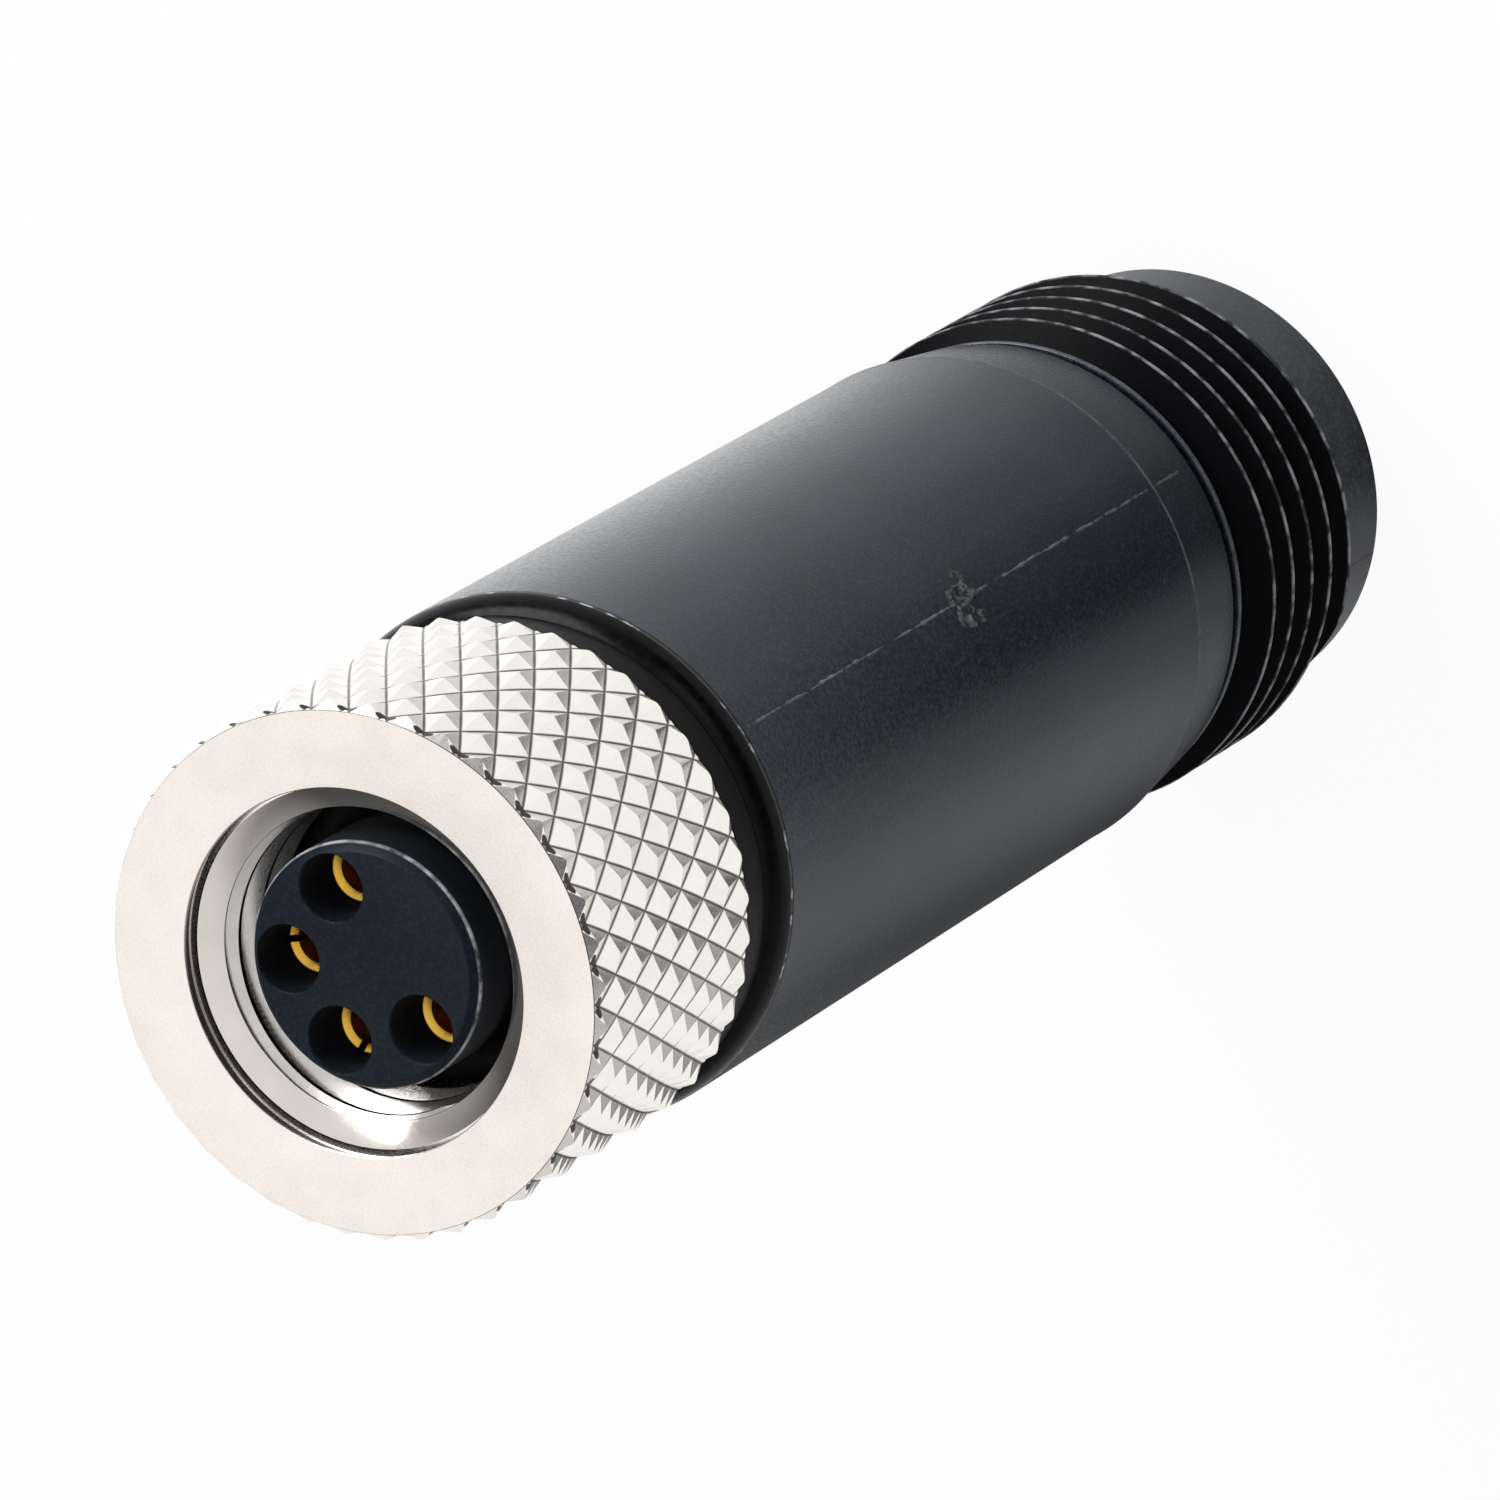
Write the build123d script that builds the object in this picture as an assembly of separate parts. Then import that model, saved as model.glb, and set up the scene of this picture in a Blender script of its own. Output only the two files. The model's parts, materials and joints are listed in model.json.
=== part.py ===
from build123d import *
import math
import os

# Gaps between neighbouring pieces
mould_gap = 0.03
running_gap = 0.05
nut_room = 0.3
nut_play = 0.1

# Pins of the plug end, on the corners of a square
pin_r = 0.5
pin_pitch = 4.0
pin_recess = 1.4
pin_nose = 0.35
pin_seat_step = 0.2
pin_shoulder_step = 0.4
pin_shoulder_seat = 1.6
pin_tail = 1.6

# Housing of the plug end, with the M12 x 1 threaded sleeve round it
cavity_room = 0.92
cavity_depth = 8.0
floor_thickness = 4.5
cavity_wall = 0.62
collar_step = 0.39
collar_length = 2.6
collar_round = 0.15
cavity_chamfer = 0.2
key_width = 1.2
key_depth = 0.8
key_lead = 0.6
thread_pitch = 1.0
thread_turns = 5
thread_depth = 0.61
thread_crest = 0.125
thread_root_step = 0.06
thread_relief = 0.5
anchor_groove_depth = 0.3
anchor_groove_width = 1.2
anchor_groove_lead = 1.4

# Moulded body
body_wall = 1.13
body_length = 24.0
body_draft = 0.08
front_round = 0.8
rear_taper_length = 3.0
rear_taper = 0.38
rear_round = 0.25

# Socket contacts, three equal steps round a circle with a wide gap towards +X
contact_bore_r = 0.52
contact_bore_depth = 5.2
contact_wall = 0.2
contact_recess = 1.3
contact_collar_step = 0.08
contact_collar_length = 2.4
contact_tail = 2.0
contact_slot_width = 0.16
contact_slot_length = 3.0
socket_circle_r = 1.85
socket_step = 68.5
socket_edge_break = 0.07

# Socket carrier
insert_wall = 0.2
insert_recess = 0.45
insert_chamfer = 0.2
carrier_anchor_depth = 5.0
carrier_foot_length = 1.0

# Flanged bush on the carrier, which holds the nut
bush_wall = 0.42
flange_step = 0.6
flange_thickness = 0.75
bush_rib_step = 0.4
bush_rib_length = 1.2
bush_rib_lead = 1.6

# Seal ring on the insert
seal_section = 0.9

# Stop ring behind the nut
ring_height = 1.0
ring_step = 0.35
ring_round = 0.3

# Coupling nut, with room for the M8 x 1 thread of the mating shell
shell_gap = 0.66
nut_thread_length = 3.15
mouth_step = 0.69
mouth_depth = 0.65
face_width = 1.65
lip_length = 1.4
seal_room = 0.05
knurl_teeth = 40
knurl_pitch = 1.6
knurl_depth = 0.3
knurl_edge = 0.3
knurl_chamfer = 0.35

# Wires between the contacts
wire_r = 0.45
core_r = 0.28
core_length = 1.0

# Radii that follow
pin_circle_r = pin_pitch / math.sqrt(2)
pin_seat_r = pin_r + pin_seat_step
pin_shoulder_r = pin_r + pin_shoulder_step
cavity_r = pin_circle_r + pin_r + cavity_room
anchor_r = cavity_r + cavity_wall
collar_r = anchor_r + collar_step
sleeve_bore_r = anchor_r + mould_gap
thread_root_r = collar_r + thread_root_step
thread_r = thread_root_r + thread_depth
body_r = anchor_r + body_wall
body_front_r = body_r + body_draft
contact_r = contact_bore_r + contact_wall
contact_collar_r = contact_r + contact_collar_step
socket_hole_r = contact_r + mould_gap
insert_r = socket_circle_r + socket_hole_r + insert_wall
bush_bore_r = insert_r + mould_gap
neck_r = bush_bore_r + bush_wall
flange_r = neck_r + flange_step
relief_r = flange_r + nut_room
lip_bore_r = neck_r + running_gap
nut_bore_r = insert_r + shell_gap
mouth_r = nut_bore_r + mouth_step
knurl_root_r = mouth_r + face_width
knurl_r = knurl_root_r + knurl_depth
ring_r = body_front_r - ring_step

# Heights that follow, from the end of the collar up
thread_top_z = collar_length + thread_turns * thread_pitch
body_base_z = thread_top_z + thread_relief
taper_top_z = body_base_z + rear_taper_length
housing_top_z = cavity_depth + floor_thickness
pin_top_z = housing_top_z + pin_tail
body_top_z = body_base_z + body_length
ring_top_z = body_top_z + ring_height
nut_base_z = ring_top_z + nut_play
lip_top_z = nut_base_z + lip_length
flange_base_z = lip_top_z + nut_play
flange_top_z = flange_base_z + flange_thickness
relief_top_z = flange_top_z + seal_section + seal_room
mouth_base_z = relief_top_z + nut_thread_length
nut_top_z = mouth_base_z + mouth_depth
insert_top_z = nut_top_z - insert_recess
contact_top_z = insert_top_z - contact_recess
carrier_base_z = body_top_z - carrier_anchor_depth
collar_seat_z = carrier_base_z + contact_collar_length
foot_top_z = carrier_base_z + carrier_foot_length
contact_base_z = carrier_base_z - contact_tail
pin_shoulder_z = cavity_depth + pin_shoulder_seat

socket_angles = [180 + socket_step * (i - 1.5) for i in range(4)]
pin_angles = [45, 135, 225, 315]
socket_places = [
    (socket_circle_r * math.cos(math.radians(a)), socket_circle_r * math.sin(math.radians(a)))
    for a in socket_angles
]
pin_places = [
    (pin_circle_r * math.cos(math.radians(a)), pin_circle_r * math.sin(math.radians(a)))
    for a in pin_angles
]


def turned(profile):
    """Solid of revolution about Z from (radius, height) corners."""
    outline = Polyline(*[(radius, 0, height) for radius, height in profile], close=True)
    return revolve(make_face(outline), Axis.Z)


def rod(radius, low, high, place=(0, 0)):
    """Round rod along Z between two heights."""
    base = Pos(place[0], place[1], low)
    return base * Cylinder(radius, high - low, align=(Align.CENTER, Align.CENTER, Align.MIN))


def top_edges(solid):
    """Edges at the upper end of a solid."""
    return solid.edges().group_by(Axis.Z)[-1]


def bottom_edges(solid):
    """Edges at the lower end of a solid."""
    return solid.edges().group_by(Axis.Z)[0]


def knurl_facets(rows, rise):
    """Facets of the pyramids between two crossing sets of grooves, a row past each end."""
    steps = 2 * knurl_teeth

    def point(step, row):
        turn = math.radians(360 * (step % steps) / steps)
        radius = knurl_r if (step + row) % 2 else knurl_root_r
        height = nut_base_z + knurl_edge + rise * row
        return Vector(radius * math.cos(turn), radius * math.sin(turn), height)

    def facet(*corners):
        return Face(Wire.make_polygon(corners, close=True))

    facets = []
    for row in range(-1, rows + 1):
        for step in range(steps):
            lower, lower_next = point(step, row), point(step + 1, row)
            upper, upper_next = point(step, row + 1), point(step + 1, row + 1)
            if (step + row) % 2:
                facets.append(facet(lower, lower_next, upper))
                facets.append(facet(lower_next, upper_next, upper))
            else:
                facets.append(facet(lower, lower_next, upper_next))
                facets.append(facet(lower, upper_next, upper))
    facets.append(facet(*[point(step, -1) for step in range(steps)]))
    facets.append(facet(*[point(step, rows + 1) for step in range(steps)]))
    return facets


def coupling_nut():
    """Nut with its chamfered knurl, countersink, threaded bore, seal room and rear lip."""
    length = nut_top_z - nut_base_z - 2 * knurl_edge
    rows = 2 * max(1, round(length / knurl_pitch))
    knurl = Solid(Shell(knurl_facets(rows, length / rows)))
    reach = knurl_depth + nut_room
    chamfered = turned(
        [
            (0, nut_base_z),
            (knurl_root_r, nut_base_z),
            (knurl_root_r + reach, nut_base_z + reach * knurl_chamfer / knurl_depth),
            (knurl_root_r + reach, nut_top_z - reach * knurl_chamfer / knurl_depth),
            (knurl_root_r, nut_top_z),
            (0, nut_top_z),
        ]
    )
    inside = turned(
        [
            (0, nut_base_z - nut_play),
            (lip_bore_r, nut_base_z - nut_play),
            (lip_bore_r, lip_top_z),
            (relief_r, lip_top_z),
            (relief_r, relief_top_z),
            (nut_bore_r, relief_top_z),
            (nut_bore_r, mouth_base_z),
            (mouth_r, nut_top_z),
            (mouth_r, nut_top_z + nut_play),
            (0, nut_top_z + nut_play),
        ]
    )
    return knurl & (chamfered - inside)


def stop_ring():
    """Plain ring on the bush, between the body and the nut."""
    blank = rod(ring_r, body_top_z, ring_top_z)
    blank = fillet(top_edges(blank), ring_round)
    return blank - rod(neck_r + mould_gap, body_top_z, ring_top_z)


def front_anchor(gap):
    """Part of the carrier and the bush that the body is moulded round, grown by a gap."""
    rib_top_z = body_top_z - bush_rib_lead
    rib_base_z = rib_top_z - bush_rib_length
    rib_r = neck_r + bush_rib_step
    return turned(
        [
            (0, carrier_base_z),
            (neck_r + gap, carrier_base_z),
            (neck_r + gap, rib_base_z - gap),
            (rib_r + gap, rib_base_z - gap),
            (rib_r + gap, rib_top_z + gap),
            (neck_r + gap, rib_top_z + gap),
            (neck_r + gap, body_top_z),
            (0, body_top_z),
        ]
    )


def nut_bush():
    """Bush with a rib that the body grips and a flange that keeps the nut on."""
    head = rod(neck_r, body_top_z, flange_top_z) + rod(flange_r, flange_base_z, flange_top_z)
    blank = front_anchor(0) + head
    blank -= rod(neck_r, carrier_base_z, foot_top_z)
    return blank - rod(bush_bore_r, foot_top_z, flange_top_z)


def socket_carrier():
    """Insert with a foot behind the bush and four stepped holes."""
    carrier = turned(
        [
            (0, carrier_base_z),
            (neck_r, carrier_base_z),
            (neck_r, foot_top_z),
            (insert_r, foot_top_z),
            (insert_r, insert_top_z - insert_chamfer),
            (insert_r - insert_chamfer, insert_top_z),
            (0, insert_top_z),
        ]
    )
    for place in socket_places:
        mouth = Pos(place[0], place[1], insert_top_z - socket_edge_break) * Cone(
            socket_hole_r,
            socket_hole_r + socket_edge_break,
            socket_edge_break,
            align=(Align.CENTER, Align.CENTER, Align.MIN),
        )
        carrier -= rod(socket_hole_r, carrier_base_z, insert_top_z, place)
        carrier -= rod(contact_collar_r + mould_gap, carrier_base_z, collar_seat_z, place)
        carrier -= mouth
    return carrier


def socket_contact(place):
    """Turned contact: slotted barrel, collar and cup for the wire."""
    cup_r = core_r + mould_gap
    contact = turned(
        [
            (cup_r, contact_base_z),
            (contact_r, contact_base_z),
            (contact_r, carrier_base_z),
            (contact_collar_r, carrier_base_z),
            (contact_collar_r, collar_seat_z),
            (contact_r, collar_seat_z),
            (contact_r, contact_top_z),
            (contact_bore_r, contact_top_z),
            (contact_bore_r, contact_top_z - contact_bore_depth),
            (0, contact_top_z - contact_bore_depth),
            (0, contact_base_z + core_length),
            (cup_r, contact_base_z + core_length),
        ]
    )
    slot = Pos(0, 0, contact_top_z - contact_slot_length) * Box(
        3 * contact_r,
        contact_slot_width,
        contact_slot_length,
        align=(Align.CENTER, Align.CENTER, Align.MIN),
    )
    return Pos(place[0], place[1], 0) * (contact - slot)


def front_seal():
    """Round seal ring on the insert, lying on the flange."""
    return Pos(0, 0, flange_top_z + seal_section / 2) * Torus(
        insert_r + mould_gap + seal_section / 2, seal_section / 2
    )


def rear_anchor(gap):
    """Part of the plug housing that the body is moulded round, grown by a gap."""
    groove_base_z = body_base_z + anchor_groove_lead
    groove_top_z = groove_base_z + anchor_groove_width
    groove_r = anchor_r - anchor_groove_depth
    return turned(
        [
            (0, body_base_z),
            (anchor_r + gap, body_base_z),
            (anchor_r + gap, groove_base_z + gap),
            (groove_r + gap, groove_base_z + gap),
            (groove_r + gap, groove_top_z - gap),
            (anchor_r + gap, groove_top_z - gap),
            (anchor_r + gap, housing_top_z),
            (0, housing_top_z),
        ]
    )


def thread_sleeve():
    """Sleeve with the outer thread, held between the collar and the body."""
    flank = thread_depth * math.tan(math.radians(30))
    corners = [(sleeve_bore_r, collar_length), (thread_root_r, collar_length)]
    for turn in range(thread_turns):
        middle = collar_length + (turn + 0.5) * thread_pitch
        corners += [
            (thread_root_r, middle - thread_crest / 2 - flank),
            (thread_r, middle - thread_crest / 2),
            (thread_r, middle + thread_crest / 2),
            (thread_root_r, middle + thread_crest / 2 + flank),
        ]
    return turned(corners + [(thread_root_r, body_base_z), (sleeve_bore_r, body_base_z)])


def pin_housing():
    """Tube with its collar, the cavity for the mating insert and the key in it."""
    shell = fillet(bottom_edges(rod(collar_r, 0, collar_length)), collar_round)
    shell += rod(anchor_r, 0, body_base_z) + rear_anchor(0)
    cavity = rod(cavity_r, 0, housing_top_z)
    cavity += Cone(
        cavity_r + cavity_chamfer,
        cavity_r,
        cavity_chamfer,
        align=(Align.CENTER, Align.CENTER, Align.MIN),
    )
    key = Pos(cavity_r - key_depth, 0, key_lead) * Box(
        key_depth + cavity_wall / 2,
        key_width,
        cavity_depth - key_lead,
        align=(Align.MIN, Align.CENTER, Align.MIN),
    )
    return shell - cavity + key


def pin_carrier():
    """Round floor of the cavity, with four stepped holes for the pins."""
    carrier = rod(cavity_r - mould_gap, cavity_depth, housing_top_z)
    for place in pin_places:
        carrier -= rod(pin_seat_r + mould_gap, cavity_depth, housing_top_z, place)
        carrier -= rod(pin_shoulder_r + mould_gap, pin_shoulder_z, housing_top_z, place)
    return carrier


def pin_contact(place):
    """Turned pin with a rounded tip, a seat, a shoulder and a cup for the wire."""
    cup_r = core_r + mould_gap
    pin = turned(
        [
            (0, pin_recess),
            (pin_r, pin_recess),
            (pin_r, cavity_depth),
            (pin_seat_r, cavity_depth),
            (pin_seat_r, pin_shoulder_z),
            (pin_shoulder_r, pin_shoulder_z),
            (pin_shoulder_r, pin_top_z),
            (cup_r, pin_top_z),
            (cup_r, pin_top_z - core_length),
            (0, pin_top_z - core_length),
        ]
    )
    return Pos(place[0], place[1], 0) * fillet(bottom_edges(pin), pin_nose)


def wire_run(radius, upper, lower):
    """Insulation from the cup of a socket contact down to the cup of a pin, in two bends."""
    start = Vector(upper[0], upper[1], contact_base_z)
    end = Vector(lower[0], lower[1], pin_top_z)
    middle = (start + end) / 2
    upper_bend = TangentArc(start, middle, tangent=(0, 0, -1))
    lower_bend = TangentArc(middle, end, tangent=upper_bend % 1)
    return sweep(Plane(start, z_dir=(0, 0, -1)) * Circle(radius), path=upper_bend + lower_bend)


def wire(upper, lower):
    """Insulated wire with its two bare ends."""
    upper_end = rod(core_r, contact_base_z, contact_base_z + core_length, upper)
    lower_end = rod(core_r, pin_top_z - core_length, pin_top_z, lower)
    return wire_run(wire_r, upper, lower) + upper_end + lower_end


def body():
    """Body moulded round the inner pieces, with its front round and rear taper."""
    blank = turned(
        [
            (0, body_base_z),
            (body_r - rear_taper, body_base_z),
            (body_r, taper_top_z),
            (body_front_r, body_top_z),
            (0, body_top_z),
        ]
    )
    blank = fillet(top_edges(blank), front_round)
    blank = fillet(bottom_edges(blank), rear_round)
    blank -= front_anchor(mould_gap)
    blank -= rear_anchor(mould_gap)
    for upper, lower in zip(socket_places, pin_places):
        blank -= rod(contact_r + mould_gap, contact_base_z, carrier_base_z, upper)
        blank -= rod(pin_shoulder_r + mould_gap, housing_top_z, pin_top_z, lower)
        blank -= wire_run(wire_r + mould_gap, upper, lower)
    return blank


pieces = {
    "coupling_nut": coupling_nut(),
    "stop_ring": stop_ring(),
    "front_seal": front_seal(),
    "nut_bush": nut_bush(),
    "socket_carrier": socket_carrier(),
    "body": body(),
    "thread_sleeve": thread_sleeve(),
    "pin_housing": pin_housing(),
    "pin_carrier": pin_carrier(),
}
for number, (upper, lower) in enumerate(zip(socket_places, pin_places), start=1):
    pieces[f"socket_contact_{number}"] = socket_contact(upper)
    pieces[f"pin_contact_{number}"] = pin_contact(lower)
    pieces[f"wire_{number}"] = wire(upper, lower)

os.makedirs("parts", exist_ok=True)
for name, solid in pieces.items():
    export_step(solid, f"parts/{name}.step")
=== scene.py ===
"""Looks of a straight round connector adapter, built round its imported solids.

Heights run from the end of the plug's collar up to the face of the knurled nut. Sizes are in
millimetres in the classes below and become metres where a mesh is made.
"""

from __future__ import annotations

import json
import logging
import math
from abc import ABC, abstractmethod
from dataclasses import dataclass
from enum import Enum
from functools import cache
from typing import Any, Optional, Sequence

import bmesh
import bpy
from bmesh.types import BMEdge, BMesh, BMVert
from bpy.types import Material, Mesh, Node, NodeTree
from bpy.types import NodeSocket as Socket
from mathutils import Matrix, Vector, noise

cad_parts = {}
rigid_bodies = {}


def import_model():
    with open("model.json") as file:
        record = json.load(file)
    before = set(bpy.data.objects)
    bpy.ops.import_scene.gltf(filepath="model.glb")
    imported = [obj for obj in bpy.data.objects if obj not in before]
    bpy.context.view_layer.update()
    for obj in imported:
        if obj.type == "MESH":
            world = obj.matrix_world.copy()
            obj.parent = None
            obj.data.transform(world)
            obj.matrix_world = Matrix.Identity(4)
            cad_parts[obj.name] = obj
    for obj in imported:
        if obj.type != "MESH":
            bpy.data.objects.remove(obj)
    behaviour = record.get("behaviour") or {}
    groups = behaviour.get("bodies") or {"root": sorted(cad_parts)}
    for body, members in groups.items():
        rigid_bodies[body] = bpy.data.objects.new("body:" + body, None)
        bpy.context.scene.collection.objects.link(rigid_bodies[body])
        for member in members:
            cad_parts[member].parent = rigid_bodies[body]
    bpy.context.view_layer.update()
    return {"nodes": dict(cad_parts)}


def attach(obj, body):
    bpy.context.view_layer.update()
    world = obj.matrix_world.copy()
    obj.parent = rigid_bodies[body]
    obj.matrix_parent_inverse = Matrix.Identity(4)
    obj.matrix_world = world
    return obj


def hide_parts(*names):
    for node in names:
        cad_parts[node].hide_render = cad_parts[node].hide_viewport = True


LOG = logging.getLogger("adapter")
MM = 0.001
ON_AXIS = 1e-6  # a radius below this is a single point
CONTACTS = 4

Point2 = tuple[float, float]
Corner = tuple[float, float, float]
Colour = tuple[float, float, float]
Piece = bpy.types.Object


class Rider(Enum):
    """Rigid bodies of the adapter."""

    ADAPTER = "adapter"
    NUT = "nut"


class InputKind(Enum):
    """Kinds of named input that a node tree takes."""

    NUMBER = "NodeSocketFloat"
    COUNT = "NodeSocketInt"
    OBJECT = "NodeSocketObject"
    MATERIAL = "NodeSocketMaterial"


class ThreadSide(Enum):
    """Which way the ridge of a screw thread points."""

    OUTWARD = 1.0
    INWARD = -1.0


class Finish(ABC):
    """A surface finish that builds one material."""

    @abstractmethod
    def build(self) -> Material:
        """Builds the material."""

    @cache
    def material(self) -> Material:
        """The material, built when it is first asked for."""
        return self.build()


def unit_circle(count: int) -> list[Point2]:
    """Cosine and sine of so many equal steps round a circle."""
    turns = [2 * math.pi * step / count for step in range(count)]
    return [(math.cos(turn), math.sin(turn)) for turn in turns]


def rounded_outline(corners: Sequence[Corner], steps: int = 6) -> list[Point2]:
    """Rounds the corners of an open section line.

    Args:
        corners: Radius, height and corner rounding of each corner, in millimetres.
        steps: Segments in each rounded corner.

    Returns:
        Radius and height of each point of the rounded line.
    """
    points: list[Point2] = []
    for index, (radius, height, rounding) in enumerate(corners):
        if rounding <= 0 or index in (0, len(corners) - 1):
            points.append((radius, height))
            continue
        here = Vector((radius, height))
        back = (Vector(corners[index - 1][:2]) - here).normalized()
        ahead = (Vector(corners[index + 1][:2]) - here).normalized()
        half = back.angle(ahead) / 2
        centre = here + (back + ahead).normalized() * rounding / math.sin(half)
        start = here + back * rounding / math.tan(half) - centre
        end = here + ahead * rounding / math.tan(half) - centre
        first = math.atan2(start.y, start.x)
        turn = (math.atan2(end.y, end.x) - first + math.pi) % (2 * math.pi) - math.pi
        for step in range(steps + 1):
            angle = first + turn * step / steps
            points.append((centre.x + rounding * math.cos(angle), centre.y + rounding * math.sin(angle)))
    return points


def join_rings(shape: BMesh, low: Sequence[BMVert], high: Sequence[BMVert]) -> None:
    """Joins two rings of points with faces.

    Args:
        shape: The edit mesh that holds them.
        low: First ring, or a single point.
        high: Second ring, or a single point.
    """
    count = max(len(low), len(high))
    for step in range(count):
        after = (step + 1) % count
        below, above = (step % len(low), after % len(low)), (after % len(high), step % len(high))
        corners = [low[index] for index in below] + [high[index] for index in above]
        shape.faces.new(tuple(dict.fromkeys(corners)))


def block(size: Corner, middle: Corner, bevel: float = 0.0) -> BMesh:
    """Makes a block along the axes.

    Args:
        size: Its three widths in millimetres.
        middle: Its centre in millimetres.
        bevel: Rounding of its edges in millimetres.

    Returns:
        The block.
    """
    shape = bmesh.new()
    bmesh.ops.create_cube(shape, size=1.0)
    place = Matrix.Translation(Vector(middle) * MM) @ Matrix.Diagonal((*(Vector(size) * MM), 1.0))
    bmesh.ops.transform(shape, matrix=place, verts=shape.verts)
    if bevel > 0:
        edges = shape.edges[:]
        bmesh.ops.bevel(shape, geom=edges, offset=bevel * MM, segments=3, affect="EDGES", profile=0.5)
    return shape


def add_piece(name: str, shape: BMesh, finish: Optional[Finish] = None) -> Piece:
    """Puts an edit mesh into the scene at the origin, and frees it.

    Args:
        name: Name of the piece.
        shape: Its edit mesh, with its place in the points.
        finish: Finish of all its faces.

    Returns:
        The new object.
    """
    mesh = bpy.data.meshes.new(name)
    shape.to_mesh(mesh)
    shape.free()
    piece = bpy.data.objects.new(name, mesh)
    bpy.context.scene.collection.objects.link(piece)
    if finish is not None:
        coat(mesh, finish)
    return piece


def coat(mesh: Mesh, finish: Finish) -> None:
    """Gives a mesh one finish and no other."""
    mesh.materials.clear()
    mesh.materials.append(finish.material())


def soften(piece: Piece, angle: float = 32.0) -> None:
    """Shades a piece smooth, with edges sharper than an angle in degrees kept crisp."""
    piece.data.shade_smooth()
    piece.data.set_sharp_from_angle(angle=math.radians(angle))


def turned_piece(
    name: str,
    corners: Sequence[Corner],
    finish: Optional[Finish] = None,
    steps: int = 6,
    closed: bool = False,
    segments: int = 160,
) -> Piece:
    """Turns a section with rounded corners about the adapter's axis.

    Args:
        name: Name of the piece.
        corners: Radius, height and rounding of each corner, with the material on the left.
        finish: Its finish, or none for a helper.
        steps: Segments in each rounded corner.
        closed: Whether the last corner joins the first.
        segments: Segments round the axis.

    Returns:
        The piece, shaded smooth.
    """
    shape = bmesh.new()
    rings: list[list[BMVert]] = []
    for radius, height in rounded_outline(corners, steps):
        places = unit_circle(segments) if radius > ON_AXIS else [(0.0, 0.0)]
        rings.append([shape.verts.new((radius * MM * x, radius * MM * y, height * MM)) for x, y in places])
    for low, high in zip(rings, rings[1:] + rings[:1] if closed else rings[1:]):
        join_rings(shape, low, high)
    piece = add_piece(name, shape, finish)
    soften(piece)
    return piece


def ridge_piece(name: str, rows: Sequence[Sequence[Vector]], finish: Finish) -> Piece:
    """Joins three-cornered sections into a closed low ridge.

    Args:
        name: Name of the piece.
        rows: The corners of each section, in millimetres, with the crest in the middle.
        finish: Its finish.

    Returns:
        The ridge, closed below and at its ends.
    """
    shape = bmesh.new()
    made = [[shape.verts.new(corner * MM) for corner in row] for row in rows]
    for low, high in zip(made, made[1:]):
        join_rings(shape, low, high)
    shape.faces.new(made[0][::-1])
    shape.faces.new(made[-1])
    bmesh.ops.recalc_face_normals(shape, faces=shape.faces[:])
    piece = add_piece(name, shape, finish)
    soften(piece, 60.0)
    return piece


def settle(piece: Piece) -> None:
    """Makes what the modifiers of a piece give its plain mesh, and removes them."""
    graph = bpy.context.evaluated_depsgraph_get()
    mesh = bpy.data.meshes.new_from_object(piece.evaluated_get(graph), depsgraph=graph)
    mesh.name = piece.data.name
    piece.modifiers.clear()
    piece.data = mesh


def discard(*pieces: Piece) -> None:
    """Removes objects from the scene."""
    for piece in pieces:
        bpy.data.objects.remove(piece)


def cut_away(piece: Piece, cutter: Piece) -> None:
    """Cuts one closed mesh out of another and removes the cutter.

    Args:
        piece: The piece that is cut.
        cutter: The shape that is taken away.
    """
    modifier = piece.modifiers.new("cut", "BOOLEAN")
    modifier.operation = "DIFFERENCE"
    modifier.solver = "EXACT"
    modifier.object = cutter
    settle(piece)
    discard(cutter)
    soften(piece)


def dress(piece: Piece, rider: Rider, slot: str, *nodes: str) -> None:
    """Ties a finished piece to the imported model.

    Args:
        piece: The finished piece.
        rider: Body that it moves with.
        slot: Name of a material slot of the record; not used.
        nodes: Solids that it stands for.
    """
    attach(piece, rider.value)
    if nodes:
        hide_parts(*nodes)
    LOG.info("%s rides on %s, %d faces", piece.name, rider.value, len(piece.data.polygons))


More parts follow.
